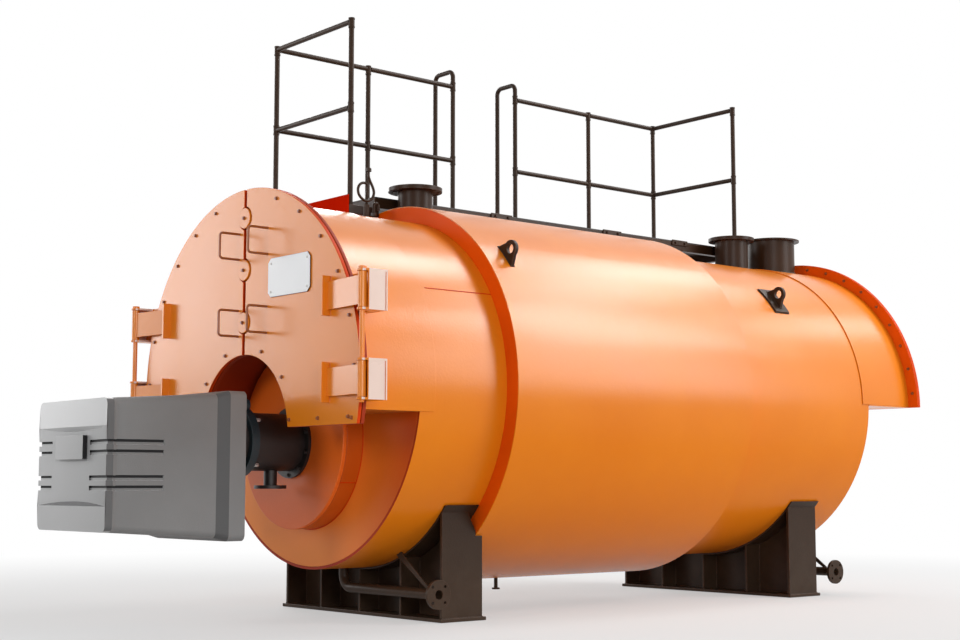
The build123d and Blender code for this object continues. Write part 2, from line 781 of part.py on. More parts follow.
with BuildPart() as saddle_wear_plates:
    for wear_y in (0, rear_saddle_y):
        wear_start = wear_y - saddle_length / 2
        wear_end = wear_y + saddle_length / 2
        if wear_start < jacket_front_y < wear_end:
            wear_end = jacket_front_y - cladding_clearance
        with BuildSketch(across(wear_start)) as wear:
            with Locations((0, axis_height)):
                Circle(shell_radius + wear_gap + wear_plate)
                Circle(shell_radius + wear_gap, mode=Mode.SUBTRACT)
            with Locations((0, belly(saddle_seat, saddle_half_width) + 2 * saddle_base)):
                Rectangle(2 * far_reach, far_reach, align=(Align.CENTER, Align.MAX), mode=Mode.INTERSECT)
        extrude(wear.sketch, amount=wear_start - wear_end)
keep(saddle_wear_plates, "saddle_wear_plates")


# Blowdown pipe: drops from the belly, bends and runs sideways to a drilled flange
def build_blowdown(y):
    with BuildPart() as blowdown:
        with BuildLine(across(y)) as route:
            FilletPolyline((drain_x, belly(shell_radius, drain_x) + shell_wall), (drain_x, drain_height),
                           (drain_face_x, drain_height), radius=drain_bend_radius)
        with BuildSketch(Plane(origin=route.line @ 0, z_dir=route.line % 0)) as pipe:
            Circle(drain_pipe_radius)
            Circle(drain_pipe_radius - drain_pipe_wall, mode=Mode.SUBTRACT)
        sweep(pipe.sketch, path=route.line)
        with BuildSketch(Plane.YZ.offset(drain_face_x)) as flange:
            with Locations((y, drain_height)):
                Circle(drain_flange_radius)
                Circle(drain_pipe_radius - drain_pipe_wall / 2, mode=Mode.SUBTRACT)
                with PolarLocations(drain_pitch_circle / 2, drain_hole_count, 180 / drain_hole_count):
                    Circle(drain_hole_radius, mode=Mode.SUBTRACT)
        extrude(flange.sketch, amount=-drain_flange_wall)
        drum(y - drain_bend_radius, y + drain_bend_radius, shell_radius + fit_gap, mode=Mode.SUBTRACT)
    return blowdown


front_blowdown = build_blowdown(front_drain_y)
keep(front_blowdown, "front_blowdown")
rear_blowdown = build_blowdown(rear_drain_y)
keep(rear_blowdown, "rear_blowdown")

# Flat braces from the belly to the blowdown pipes
with BuildPart() as blowdown_braces:
    pipe_top = drain_height + drain_pipe_radius + fit_gap
    brace_top = belly(shell_radius, brace_top_x) + shell_wall
    for brace_y in (front_drain_y, rear_drain_y):
        with BuildSketch(across(brace_y - brace_wall / 2)) as brace:
            with BuildLine():
                Polyline((brace_top_x - brace_width, brace_top), (brace_top_x + brace_width, brace_top),
                         (brace_low_x, pipe_top), (brace_low_x - brace_width, pipe_top), close=True)
            make_face()
        extrude(brace.sketch, amount=-brace_wall)
    drum(front_drain_y - brace_wall, rear_drain_y + brace_wall, shell_radius + fit_gap, mode=Mode.SUBTRACT)
keep(blowdown_braces, "blowdown_braces")

with BuildPart() as jacket_drain:
    jacket_low = axis_height - jacket_radius
    upright(0, jacket_drain_y, jacket_low - jacket_drain_length, jacket_low + cladding_wall,
            jacket_drain_radius)
    upright(0, jacket_drain_y, jacket_low - jacket_drain_length,
            jacket_low - jacket_drain_length + jacket_drain_cap_wall, jacket_drain_cap_radius)
    drum(jacket_front_y, jacket_rear_y, jacket_radius + fit_gap, mode=Mode.SUBTRACT)
keep(jacket_drain, "jacket_drain")

# Deck: two long beams with bearers between them, arms in front for the end rail, and the plate
half_beam = deck_beam_width / 2
bearer_pitch = (deck_rear_y - deck_front_y - deck_beam_width) / (deck_bearer_count - 1)
with BuildPart() as deck_beams:
    for beam_x in (deck_near_x, deck_far_x):
        block((beam_x - half_beam, deck_front_y, deck_beam_low),
              (beam_x + half_beam, deck_rear_y, deck_beam_top))
        block((beam_x - half_beam, front_rail_y - half_beam, deck_beam_low - deck_arm_depth),
              (beam_x + half_beam, jacket_front_y - cladding_clearance, deck_beam_low))
    for bearer in range(deck_bearer_count):
        bearer_y = deck_front_y + bearer * bearer_pitch
        block((deck_far_x + half_beam, bearer_y, deck_beam_low),
              (deck_near_x - half_beam, bearer_y + deck_beam_width, deck_beam_top))
keep(deck_beams, "deck_beams")

with BuildPart() as deck_plate:
    block((deck_far_x - half_beam, deck_front_y, deck_beam_top),
          (deck_near_x + half_beam, deck_rear_y, deck_top))
    for post_y in (mid_post_y, ladder_front_y, ladder_rear_y, rear_mid_post_y):
        upright(deck_far_x, post_y, deck_beam_top, deck_top, rail_radius + fit_gap, Mode.SUBTRACT)
keep(deck_plate, "deck_plate")

with BuildPart() as front_toe_board:
    board_y = front_rail_y - half_beam
    block((deck_far_x - half_beam, board_y - front_board_wall, deck_beam_low - deck_arm_depth),
          (deck_near_x + half_beam, board_y, deck_beam_top))
keep(front_toe_board, "front_toe_board")

# Legs from the bearers down to the jacket or the bare rear shell
with BuildPart() as deck_legs:
    for bearer in range(deck_bearer_count):
        leg_y = deck_front_y + bearer * bearer_pitch + half_beam
        for leg_x in (deck_near_x - half_beam - deck_leg_width / 2 - fit_gap, deck_leg_x):
            block((leg_x - deck_leg_width / 2, leg_y - deck_leg_wall / 2, axis_height),
                  (leg_x + deck_leg_width / 2, leg_y + deck_leg_wall / 2, deck_beam_low))
    legs_end_y = deck_rear_y + deck_leg_wall
    drum(deck_front_y - deck_leg_wall, legs_end_y, shell_radius + fit_gap, mode=Mode.SUBTRACT)
    drum(jacket_front_y - fit_gap, jacket_rear_y + fit_gap, jacket_radius + fit_gap, mode=Mode.SUBTRACT)
    drum(hood_front_y - fit_gap, legs_end_y, wrapper_outer + fit_gap, mode=Mode.SUBTRACT)
keep(deck_legs, "deck_legs")

# Railing posts stand on the arms, the beams or the deck plate
rear_rail_y = deck_rear_y - half_beam
end_posts = ((deck_far_x, front_rail_y, deck_beam_low), (deck_near_x, front_rail_y, deck_beam_low),
             (deck_far_x, rear_rail_y, deck_top), (deck_near_x, rear_rail_y, deck_top))
side_posts = ((deck_far_x, mid_post_y, deck_beam_top), (deck_far_x, rear_mid_post_y, deck_beam_top))
with BuildPart() as railing_posts:
    for post_x, post_y, foot in end_posts + side_posts:
        upright(post_x, post_y, foot, top_rail_height + rail_radius, rail_radius)
keep(railing_posts, "railing_posts")

# Rails run between neighbouring posts
side_stops = (front_rail_y, mid_post_y, ladder_front_y, ladder_rear_y, rear_mid_post_y, rear_rail_y)
rail_runs = [(side_stops[i], side_stops[i + 1]) for i in (0, 1, 3, 4)]
rail_end = rail_radius + fit_gap


def build_rails(height):
    with BuildPart() as rails:
        for run_start, run_end in rail_runs:
            with BuildSketch(across(run_start + rail_end)) as section:
                with Locations((deck_far_x, height)):
                    Circle(rail_radius)
            extrude(section.sketch, amount=run_start - run_end + 2 * rail_end)
        for cross_y in (side_stops[0], side_stops[-1]):
            with BuildSketch(Plane.YZ.offset(deck_far_x + rail_end)) as section:
                with Locations((cross_y, height)):
                    Circle(rail_radius)
            extrude(section.sketch, amount=deck_near_x - deck_far_x - 2 * rail_end)
    return rails


top_rails = build_rails(top_rail_height)
keep(top_rails, "top_rails")
mid_rails = build_rails(mid_rail_height)
keep(mid_rails, "mid_rails")

# Ladder stringers rise past the deck, hoop over and come down as the gate posts
hoop_top = top_rail_height + ladder_rise
with BuildPart() as ladder_stringers:
    for string_y in (ladder_front_y, ladder_rear_y):
        with BuildLine(across(string_y)) as hoop:
            FilletPolyline((deck_far_x, deck_beam_top), (deck_far_x, hoop_top), (ladder_x, hoop_top),
                           (ladder_x, ladder_foot_height), radius=ladder_bend)
        with BuildSketch(Plane(origin=hoop.line @ 0, z_dir=hoop.line % 0)) as tube:
            Circle(rail_radius)
        sweep(tube.sketch, path=hoop.line)
keep(ladder_stringers, "ladder_stringers")

with BuildPart() as ladder_rungs:
    rung_count = floor((deck_top - ladder_foot_height) / rung_pitch)
    for rung in range(rung_count):
        with BuildSketch(across(ladder_front_y + rail_end)) as bar:
            with Locations((ladder_x, deck_top - (rung + 0.5) * rung_pitch)):
                Circle(rung_radius)
        extrude(bar.sketch, amount=ladder_front_y - ladder_rear_y + 2 * rail_end)
keep(ladder_rungs, "ladder_rungs")

with BuildPart() as ladder_brackets:
    for string_y in (ladder_front_y, ladder_rear_y):
        for bracket_z in [axis_height + rise for rise in ladder_bracket_rises]:
            block((ladder_x + rail_end, string_y - ladder_bracket_wall / 2, bracket_z),
                  (ladder_x / 2, string_y + ladder_bracket_wall / 2, bracket_z + ladder_bracket_width))
    drum(ladder_front_y - far_reach, ladder_rear_y + far_reach, jacket_radius + fit_gap, mode=Mode.SUBTRACT)
keep(ladder_brackets, "ladder_brackets")


# Rounded rectangle section of the burner housing at one station
def burner_section(y, width, height):
    with BuildSketch(across(y)) as section:
        with Locations((0, burner_centre_height)):
            RectangleRounded(width, height, burner_corner)
    return section.sketch


# Burner housing: tapered box flaring to a rear rim, with ventilation grooves round its front corners
rim_y = burner_rear_y - burner_rim_depth
shoulder_y = rim_y - burner_rim_slope
body_front_y = burner_front_y + cover_wall
with BuildPart() as burner_housing:
    shoulder = burner_section(shoulder_y, burner_rear_width - 2 * burner_rim_step,
                              burner_rear_height - 2 * burner_rim_step)
    loft([burner_section(body_front_y, burner_front_width, burner_front_height), shoulder])
    loft([shoulder, burner_section(rim_y, burner_rear_width, burner_rear_height)])
    extrude(burner_section(rim_y, burner_rear_width, burner_rear_height), amount=-burner_rim_depth)
    for groove_z in groove_heights:
        for groove_side in (-1, 1):
            inner = groove_side * (burner_front_width / 2 - groove_depth)
            outer = groove_side * burner_rear_width
            block((min(inner, outer), body_front_y, groove_z - groove_width / 2),
                  (max(inner, outer), body_front_y + groove_length, groove_z + groove_width / 2),
                  Mode.SUBTRACT)
keep(burner_housing, "burner_housing")

# Front cover: flat bands above and below a hollow panel with sloped ends, and the grooves carried round
hollow_low = burner_centre_height - burner_front_height / 2 + cover_low_band
hollow_high = burner_centre_height + burner_front_height / 2 - cover_top_band
hollow_radius = burner_front_width**2 / (8 * hollow_depth)
hollow_axis_y = burner_front_y + hollow_depth - hollow_radius
recess_y = burner_front_y + hollow_depth + fit_gap
with BuildPart() as burner_cover:
    extrude(burner_section(burner_front_y, burner_front_width, burner_front_height), amount=-cover_wall)
    with BuildSketch(Plane.YZ.offset(-burner_front_width)) as recess:
        with BuildLine():
            Polyline((burner_front_y, hollow_low), (recess_y, hollow_low + hollow_depth),
                     (recess_y, hollow_high - hollow_depth), (burner_front_y, hollow_high), close=True)
        make_face()
    extrude(recess.sketch, amount=2 * burner_front_width, mode=Mode.SUBTRACT)
    with BuildSketch(Plane.XY.offset(hollow_low)) as filling:
        with Locations((0, burner_front_y)):
            Rectangle(burner_front_width, recess_y - burner_front_y, align=(Align.CENTER, Align.MIN))
        with Locations((0, hollow_axis_y)):
            Circle(hollow_radius, mode=Mode.SUBTRACT)
    extrude(filling.sketch, amount=hollow_high - hollow_low)
    for groove_z in groove_heights:
        for side, run in ((1, groove_near_run), (-1, groove_far_run)):
            inner, outer = sorted((side * (burner_front_width / 2 - run), side * burner_front_width))
            with BuildSketch(Plane.XY.offset(groove_z - groove_width / 2)) as slot:
                with Locations((0, hollow_axis_y)):
                    Circle(hollow_radius + groove_depth)
                with Locations((inner, burner_front_y)):
                    Rectangle(outer - inner, 2 * cover_wall, align=(Align.MIN, Align.CENTER),
                              mode=Mode.INTERSECT)
            extrude(slot.sketch, amount=groove_width, mode=Mode.SUBTRACT)
            floor_x = side * (burner_front_width / 2 - groove_depth)
            inner, outer = sorted((floor_x, side * burner_front_width))
            block((inner, burner_front_y, groove_z - groove_width / 2),
                  (outer, body_front_y, groove_z + groove_width / 2), Mode.SUBTRACT)
keep(burner_cover, "burner_cover")

with BuildPart() as burner_badge:
    hollow_rise = (abs(badge_x) + badge_width / 2) ** 2 / (2 * hollow_radius)
    with BuildSketch(across(burner_front_y + hollow_depth - hollow_rise - fit_gap)) as badge:
        with Locations((badge_x, burner_centre_height + badge_lift)):
            RectangleRounded(badge_width, badge_height, burner_corner / 4)
    extrude(badge.sketch, amount=badge_wall)
keep(burner_badge, "burner_badge")

# Blast tube from the housing into the furnace, with its mounting flange and end ring
with BuildPart() as blast_tube:
    drum(burner_rear_y, burner_plate_y + burner_plate_wall, blast_tube_radius, blast_height)
    drum(burner_plate_y - blast_ring_wall, burner_plate_y, blast_ring_radius, blast_height)
    drum(burner_rear_y, burner_plate_y + burner_plate_wall, blast_tube_radius - blast_tube_wall,
         blast_height, Mode.SUBTRACT)
    upright(0, gas_inlet_y, gas_face_height, blast_height, gas_neck_radius + fit_gap, Mode.SUBTRACT)
keep(blast_tube, "blast_tube")

flange_y = burner_rear_y + burner_flange_gap
with BuildPart() as burner_flange:
    drum(flange_y, flange_y + burner_flange_wall, burner_flange_radius, blast_height)
    for ear_side in (-1, 1):
        with BuildSketch(across(flange_y)) as ear:
            with Locations((ear_side * burner_flange_radius / 2, blast_height + burner_flange_radius)):
                Circle(burner_ear_radius)
        extrude(ear.sketch, amount=-burner_flange_wall / 2)
    drum(flange_y, flange_y + burner_flange_wall, blast_tube_radius + fit_gap, blast_height,
         Mode.SUBTRACT)
keep(burner_flange, "burner_flange")

with BuildPart() as gas_inlet:
    gas_top = blast_height - sqrt(blast_tube_radius**2 - gas_neck_radius**2) + blast_tube_wall
    upright(0, gas_inlet_y, gas_face_height, gas_top, gas_neck_radius)
    upright(0, gas_inlet_y, gas_face_height, gas_face_height + gas_flange_wall, gas_flange_radius)
    upright(0, gas_inlet_y, gas_face_height, gas_top, gas_neck_radius - gas_neck_wall, Mode.SUBTRACT)
    with BuildSketch(Plane.XY.offset(gas_face_height)) as holes:
        with Locations((0, gas_inlet_y)):
            with PolarLocations(gas_pitch_circle / 2, gas_hole_count, 180 / gas_hole_count):
                Circle(gas_hole_radius)
    extrude(holes.sketch, amount=gas_flange_wall, mode=Mode.SUBTRACT)
keep(gas_inlet, "gas_inlet")
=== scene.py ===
import json
from math import cos, hypot, pi, radians, sin, sqrt

import bmesh
import bpy
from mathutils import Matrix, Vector

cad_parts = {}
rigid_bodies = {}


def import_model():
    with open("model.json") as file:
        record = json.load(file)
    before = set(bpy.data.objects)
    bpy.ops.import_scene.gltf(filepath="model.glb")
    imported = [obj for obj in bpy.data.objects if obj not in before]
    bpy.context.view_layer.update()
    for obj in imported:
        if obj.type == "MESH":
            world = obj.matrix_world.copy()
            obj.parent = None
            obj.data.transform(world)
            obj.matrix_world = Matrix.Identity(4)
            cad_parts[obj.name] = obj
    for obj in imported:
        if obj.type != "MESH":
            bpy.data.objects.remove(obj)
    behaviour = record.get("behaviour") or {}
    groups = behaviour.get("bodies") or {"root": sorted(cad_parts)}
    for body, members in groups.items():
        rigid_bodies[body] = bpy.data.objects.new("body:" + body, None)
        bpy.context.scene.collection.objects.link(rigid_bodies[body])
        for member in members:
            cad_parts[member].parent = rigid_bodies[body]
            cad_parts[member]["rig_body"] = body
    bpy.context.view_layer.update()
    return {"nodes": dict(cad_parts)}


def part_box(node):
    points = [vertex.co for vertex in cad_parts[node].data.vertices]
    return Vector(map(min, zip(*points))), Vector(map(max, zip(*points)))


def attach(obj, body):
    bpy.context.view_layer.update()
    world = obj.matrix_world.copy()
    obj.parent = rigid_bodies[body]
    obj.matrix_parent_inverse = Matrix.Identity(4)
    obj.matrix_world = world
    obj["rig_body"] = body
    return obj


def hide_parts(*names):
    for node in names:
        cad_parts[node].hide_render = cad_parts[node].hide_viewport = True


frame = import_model()
nodes = frame["nodes"]
print("frame loaded:", len(nodes), "CAD nodes")

scene = bpy.context.scene
scene.view_settings.view_transform = "Standard"


# main lines of the boiler, read from the frame
def middle(node):
    low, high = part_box(node)
    return (low + high) / 2


shellLow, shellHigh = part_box("boiler_shell")
jacketLow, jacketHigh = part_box("jacket_cladding")
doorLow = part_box("right_door")[0]
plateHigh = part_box("burner_plate")[1]
shellRadius = shellHigh.x
axisHeight = shellHigh.z - shellRadius
jacketRadius = jacketHigh.x
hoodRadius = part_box("rear_hood")[1].x
doorFace = doorLow.y
furnaceRadius = plateHigh.x
furnaceHeight = plateHigh.z - furnaceRadius

# camera at the photo's place; the render size of 960 by 640 is not set here
cameraView = {"place": (7.661, -5.701, 0.7645), "tilt": 0.1050, "turn": 0.8674, "lens": 58.65,
              "sensor": 36}
cameraData = bpy.data.cameras.new("camera")
cameraData.lens = cameraView["lens"]
cameraData.sensor_width = cameraView["sensor"]
cameraData.clip_end = 200
camera = bpy.data.objects.new("camera", cameraData)
camera.location = cameraView["place"]
camera.rotation_euler = (pi / 2 + cameraView["tilt"], 0, cameraView["turn"])
scene.collection.objects.link(camera)
scene.camera = camera


# small helpers for node trees: a socket is linked, anything else is set as a constant
def addNode(tree, kind, **settings):
    node = tree.nodes.new(kind)
    for key, value in settings.items():
        setattr(node, key, value)
    return node


def link(tree, value, socket):
    if hasattr(value, "is_linked"):
        tree.links.new(value, socket)
    else:
        socket.default_value = value


def setInputs(node, **values):
    for key, value in values.items():
        link(node.id_data, value, node.inputs[key.replace("_", " ")])
    return node


def mathNode(tree, operation, *values):
    node = addNode(tree, "ShaderNodeMath", operation=operation)
    for value, socket in zip(values, node.inputs):
        link(tree, value, socket)
    return node.outputs[0]


def rangeNode(tree, value, shape="LINEAR", **limits):
    node = addNode(tree, "ShaderNodeMapRange", interpolation_type=shape)
    return setInputs(node, Value=value, **limits).outputs[0]


def mixColours(tree, factor, first, second):
    node = addNode(tree, "ShaderNodeMix", data_type="RGBA")
    for place, value in ((0, factor), (6, first), (7, second)):
        link(tree, value, node.inputs[place])
    return node.outputs[2]


def noiseAt(tree, place, scale, detail=4.0, roughness=0.55):
    noise = addNode(tree, "ShaderNodeTexNoise")
    return setInputs(noise, Vector=place, Scale=scale, Detail=detail, Roughness=roughness).outputs["Fac"]


def objectPlace(tree):
    return addNode(tree, "ShaderNodeTexCoord").outputs["Object"]


def objectAxis(tree, axis):
    split = addNode(tree, "ShaderNodeSeparateXYZ")
    link(tree, objectPlace(tree), split.inputs[0])
    return split.outputs[axis]


def newGroup(name, inputs, outputs):
    tree = bpy.data.node_groups.new(name, "ShaderNodeTree")
    for label, value in inputs.items():
        tree.interface.new_socket(label, in_out="INPUT", socket_type="NodeSocketFloat").default_value = value
    for label in outputs:
        tree.interface.new_socket(label, in_out="OUTPUT", socket_type="NodeSocketFloat")
    source = addNode(tree, "NodeGroupInput")
    sink = addNode(tree, "NodeGroupOutput")
    return tree, source, sink


# shared effect: the ripple of sprayed paint, with broad drifts of tone
paintSkin, skinIn, skinOut = newGroup(
    "paintSkin", {"Peel scale": 70.0, "Speck scale": 420.0}, ("Height", "Drift"))
skinPlace = objectPlace(paintSkin)
speckShare = 0.25
peel = noiseAt(paintSkin, skinPlace, skinIn.outputs["Peel scale"], detail=2.0)
speck = noiseAt(paintSkin, skinPlace, skinIn.outputs["Speck scale"], detail=2.0)
skinHeight = mathNode(paintSkin, "ADD", peel, mathNode(paintSkin, "MULTIPLY", speck, speckShare))
setInputs(skinOut, Height=skinHeight, Drift=noiseAt(paintSkin, skinPlace, scale=1.7, detail=5.0))

# shared effect: wear on the rounded edges that softenNode marks, broken up by noise
edgeWear, wearIn, wearOut = newGroup("edgeWear", {"Amount": 0.5, "Patch scale": 24.0}, ("Mask",))
wearMark = addNode(edgeWear, "ShaderNodeAttribute", attribute_name="edgeMark").outputs["Fac"]
wearNoise = noiseAt(edgeWear, objectPlace(edgeWear), wearIn.outputs["Patch scale"])
wearPatch = rangeNode(edgeWear, wearNoise, From_Min=0.38, From_Max=0.68)
wearMask = mathNode(edgeWear, "MULTIPLY", wearMark, wearPatch)
setInputs(wearOut, Mask=mathNode(edgeWear, "MULTIPLY", wearMask, wearIn.outputs["Amount"]))

# shared effect: dust that gathers low down, broken up by noise
floorDust, dustIn, dustOut = newGroup("floorDust", {"Top": 0.6, "Amount": 0.4}, ("Mask",))
dustRise = rangeNode(floorDust, objectAxis(floorDust, "Z"), From_Min=0.0, From_Max=dustIn.outputs["Top"],
                     To_Min=1.0, To_Max=0.0)
dustNoise = noiseAt(floorDust, objectPlace(floorDust), scale=9.0, detail=6.0, roughness=0.65)
dustMask = mathNode(floorDust, "MULTIPLY", dustRise, dustNoise)
setInputs(dustOut, Mask=mathNode(floorDust, "MULTIPLY", dustMask, dustIn.outputs["Amount"]))


def newMaterial(name, **constants):
    material = bpy.data.materials.new(name)
    material.use_nodes = True
    tree = material.node_tree
    shader = tree.nodes["Principled BSDF"]
    setInputs(shader, **constants)
    return material, tree, shader


def placeGroup(tree, group, **values):
    node = addNode(tree, "ShaderNodeGroup", node_tree=group)
    return setInputs(node, **values).outputs


# sprayed paint over steel: body tone, deeper tone, tone of worn edges, gloss, ripple, wear and dust;
# across is painted shade, a second and darker tone that comes in along X; polish a gloss that rises with
# height
paintFilm = {"drift": (0.3, 0.7), "glossSwing": 0.14, "dustTone": (0.33, 0.27, 0.21), "dustMatt": 0.5}


def makePaint(name, body, deep, edge, roughness, ripple, wear=0.5, dust=0.0, specular=0.5,
              peelScale=70.0, metallic=0.0, across=None, polish=None):
    material, tree, shader = newMaterial(name, Specular_IOR_Level=specular, Metallic=metallic)
    skin = placeGroup(tree, paintSkin, Peel_scale=peelScale)
    worn = placeGroup(tree, edgeWear, Amount=wear)["Mask"]
    dusty = placeGroup(tree, floorDust, Amount=dust)["Mask"]
    least, most = paintFilm["drift"]
    spread = rangeNode(tree, skin["Drift"], From_Min=least, From_Max=most)
    tone = mixColours(tree, spread, (*deep, 1), (*body, 1))
    if polish:
        low, high, topSpecular = polish
        rise = rangeNode(tree, objectAxis(tree, "Z"), From_Min=low, From_Max=high, To_Min=specular,
                         To_Max=topSpecular)
        setInputs(shader, Specular_IOR_Level=rise)
    # painted shade: the tone darkens along X
    if across:
        start, end, shadedTone = across
        reach = rangeNode(tree, objectAxis(tree, "X"), From_Min=start, From_Max=end)
        tone = mixColours(tree, reach, tone, (*shadedTone, 1))
    tone = mixColours(tree, worn, tone, (*edge, 1))
    tone = mixColours(tree, dusty, tone, (*paintFilm["dustTone"], 1))
    swing = paintFilm["glossSwing"]
    gloss = mathNode(tree, "MULTIPLY_ADD", skin["Drift"], swing, roughness - swing / 2)
    matt = mathNode(tree, "MULTIPLY", dusty, paintFilm["dustMatt"])
    bump = setInputs(addNode(tree, "ShaderNodeBump"), Strength=1.0, Distance=ripple, Height=skin["Height"])
    setInputs(shader, Base_Color=tone, Roughness=mathNode(tree, "ADD", gloss, matt),
              Normal=bump.outputs["Normal"])
    return material


orangePaint = makePaint("orangePaint", (0.80, 0.222, 0.008), (0.76, 0.198, 0.006), (0.84, 0.27, 0.02),
                        roughness=0.24, ripple=0.0006, dust=0.06, specular=0.12,
                        polish=(1.00, 1.70, 0.56))
doorPaint = makePaint("doorPaint", (0.79, 0.230, 0.012), (0.75, 0.21, 0.009), (0.84, 0.28, 0.03),
                      roughness=0.24, ripple=0.0003, specular=0.45, peelScale=210.0)
# painted shade: a redder, deeper copy of the orange for the jacket's end rings and the rear hood flange
ringShadePaint = makePaint("ringShadePaint", (0.82, 0.102, 0.0015), (0.76, 0.092, 0.001), (0.84, 0.13, 0.004),
                      roughness=0.42, ripple=0.0006, dust=0.06, specular=0.1)
# painted highlight: a pale cream for the side cheeks of the hinge brackets
cheekHighlightPaint = makePaint("cheekHighlightPaint", (0.80, 0.62, 0.54), (0.76, 0.56, 0.47), (0.84, 0.36, 0.10),
                       roughness=0.28, ripple=0.0004, wear=0.7, specular=0.4, peelScale=120.0)
# painted shade: a darker copy of the orange for the smokebox floors and the rims of the fire tubes
innerShadePaint = makePaint("innerShadePaint", (0.54, 0.130, 0.009), (0.48, 0.112, 0.007), (0.60, 0.16, 0.014),
                       roughness=0.40, ripple=0.0007, dust=0.05, specular=0.35)
# painted shade: a darker, redder copy of the orange for the furnace mouth
mouthPaint = makePaint("mouthPaint", (0.58, 0.092, 0.003), (0.52, 0.080, 0.002), (0.64, 0.12, 0.008),
                       roughness=0.40, ripple=0.0007, dust=0.05, specular=0.35)
# painted light and shade: a paler, brighter orange for the front tube plate, darkening along X to a deep red
tubePlateLightAndShade = makePaint("tubePlateLightAndShade", (0.92, 0.270, 0.030), (0.87, 0.245, 0.024), (0.93, 0.30, 0.04),
                           roughness=0.40, ripple=0.0007, dust=0.05, specular=0.3,
                           across=(0.10, 0.95, (0.57, 0.074, 0.002)))
# painted shade: a redder copy of the orange for the burner plate, standing for the deep shade at the furnace
# front
burnerPlatePaint = makePaint("burnerPlatePaint", (0.84, 0.150, 0.012), (0.78, 0.135, 0.010),
                             (0.86, 0.17, 0.02), roughness=0.40, ripple=0.0007, dust=0.05,
                             specular=0.35)
# painted shade: a deep red for the sideways edges of the doors, the rear hood flange and the rear cover; the
# fine weld beads take it too
edgeShadeRed = makePaint("edgeShadeRed", (0.66, 0.052, 0.002), (0.58, 0.042, 0.001), (0.72, 0.11, 0.008),
                      roughness=0.42, ripple=0.0005, specular=0.08)
# painted shade: a deep red for the front toe board
toePaint = makePaint("toePaint", (0.60, 0.016, 0.001), (0.54, 0.012, 0.001), (0.64, 0.04, 0.004),
                     roughness=0.6, ripple=0.0005, wear=0.4, specular=0.0)
# painted shade: a deep red for the shell's front end and its inside
insideShadePaint = makePaint("insideShadePaint", (0.42, 0.032, 0.001), (0.36, 0.026, 0.001), (0.55, 0.08, 0.006),
                        roughness=0.42, ripple=0.0006, specular=0.15)
emberShade = makePaint("emberShade", (0.36, 0.030, 0.002), (0.28, 0.022, 0.001), (0.45, 0.06, 0.006),
                       roughness=0.5, ripple=0.0007, wear=0.4, specular=0.2)
# painted shade: a darker copy of the orange for the orange-painted bolts; the light edge tone is wear
boltShadePaint = makePaint("boltShadePaint", (0.30, 0.085, 0.018), (0.20, 0.055, 0.012), (0.62, 0.24, 0.07),
                      roughness=0.34, ripple=0.0004, wear=0.7, dust=0.1, peelScale=160.0)
# painted shade: a darker copy of the orange for the door handles
handlePaint = makePaint("handlePaint", (0.36, 0.105, 0.022), (0.27, 0.075, 0.016), (0.55, 0.2, 0.06),
                        roughness=0.34, ripple=0.0004, wear=0.6, peelScale=160.0)
weldPaint = makePaint("weldPaint", (0.72, 0.18, 0.010), (0.60, 0.14, 0.008), (0.80, 0.24, 0.03),
                      roughness=0.36, ripple=0.0008, wear=0.4, dust=0.1, specular=0.4, peelScale=120.0)
darkPaint = makePaint("darkPaint", (0.042, 0.0205, 0.0098), (0.029, 0.0140, 0.0068), (0.105, 0.042, 0.022),
                      roughness=0.34, ripple=0.0006, wear=0.8, dust=0.12, specular=0.15)
deckPaint = makePaint("deckPaint", (0.030, 0.023, 0.020), (0.016, 0.013, 0.012), (0.16, 0.12, 0.095),
                      roughness=0.5, ripple=0.0006, wear=0.8, specular=0.4, peelScale=110.0)
burnerGrey = makePaint("burnerGrey", (0.222, 0.221, 0.219), (0.188, 0.187, 0.186), (0.31, 0.31, 0.31),
                       roughness=0.50, ripple=0.0014, dust=0.05, specular=0.4, peelScale=260.0)
# the burner cover's own light grey; across paints shade that darkens it towards +X
burnerSilver = makePaint("burnerSilver", (0.54, 0.542, 0.546), (0.49, 0.492, 0.496), (0.60, 0.602, 0.606),
                         roughness=0.42, ripple=0.0008, wear=0.6, specular=0.4, peelScale=300.0,
                         across=(-0.36, 0.38, (0.27, 0.271, 0.273)))
# the cover's lower band in its own grey, with the same painted shade towards +X
burnerBand = makePaint("burnerBand", (0.52, 0.522, 0.526), (0.47, 0.472, 0.476), (0.60, 0.602, 0.606),
                       roughness=0.42, ripple=0.0007, wear=0.6, specular=0.4, peelScale=300.0,
                       across=(-0.36, 0.38, (0.39, 0.391, 0.393)))
# painted highlight: a much paler grey for the cover's top band, with painted shade towards +X
burnerBright = makePaint("burnerBright", (0.80, 0.803, 0.808), (0.75, 0.753, 0.758), (0.78, 0.782, 0.786),
                         roughness=0.40, ripple=0.0007, wear=0.6, specular=0.4, peelScale=300.0,
                         across=(-0.36, 0.38, (0.58, 0.582, 0.586)))
# painted shade: a darker grey for the side faces of the burner cover
burnerSide = makePaint("burnerSide", (0.130, 0.130, 0.131), (0.110, 0.110, 0.111), (0.22, 0.22, 0.22),
                       roughness=0.50, ripple=0.0014, wear=0.4, specular=0.35, peelScale=260.0)
# painted highlight: a pale grey for the sloped face above the cover's middle and the lower lips of the
# grooves
burnerLip = makePaint("burnerLip", (0.62, 0.622, 0.626), (0.56, 0.562, 0.566), (0.72, 0.722, 0.726),
                      roughness=0.40, ripple=0.0005, wear=0.4, specular=0.4, peelScale=300.0)
burnerShade = makePaint("burnerShade", (0.090, 0.090, 0.091), (0.072, 0.072, 0.073), (0.18, 0.18, 0.18),
                        roughness=0.50, ripple=0.0012, wear=0.4, specular=0.35, peelScale=260.0)
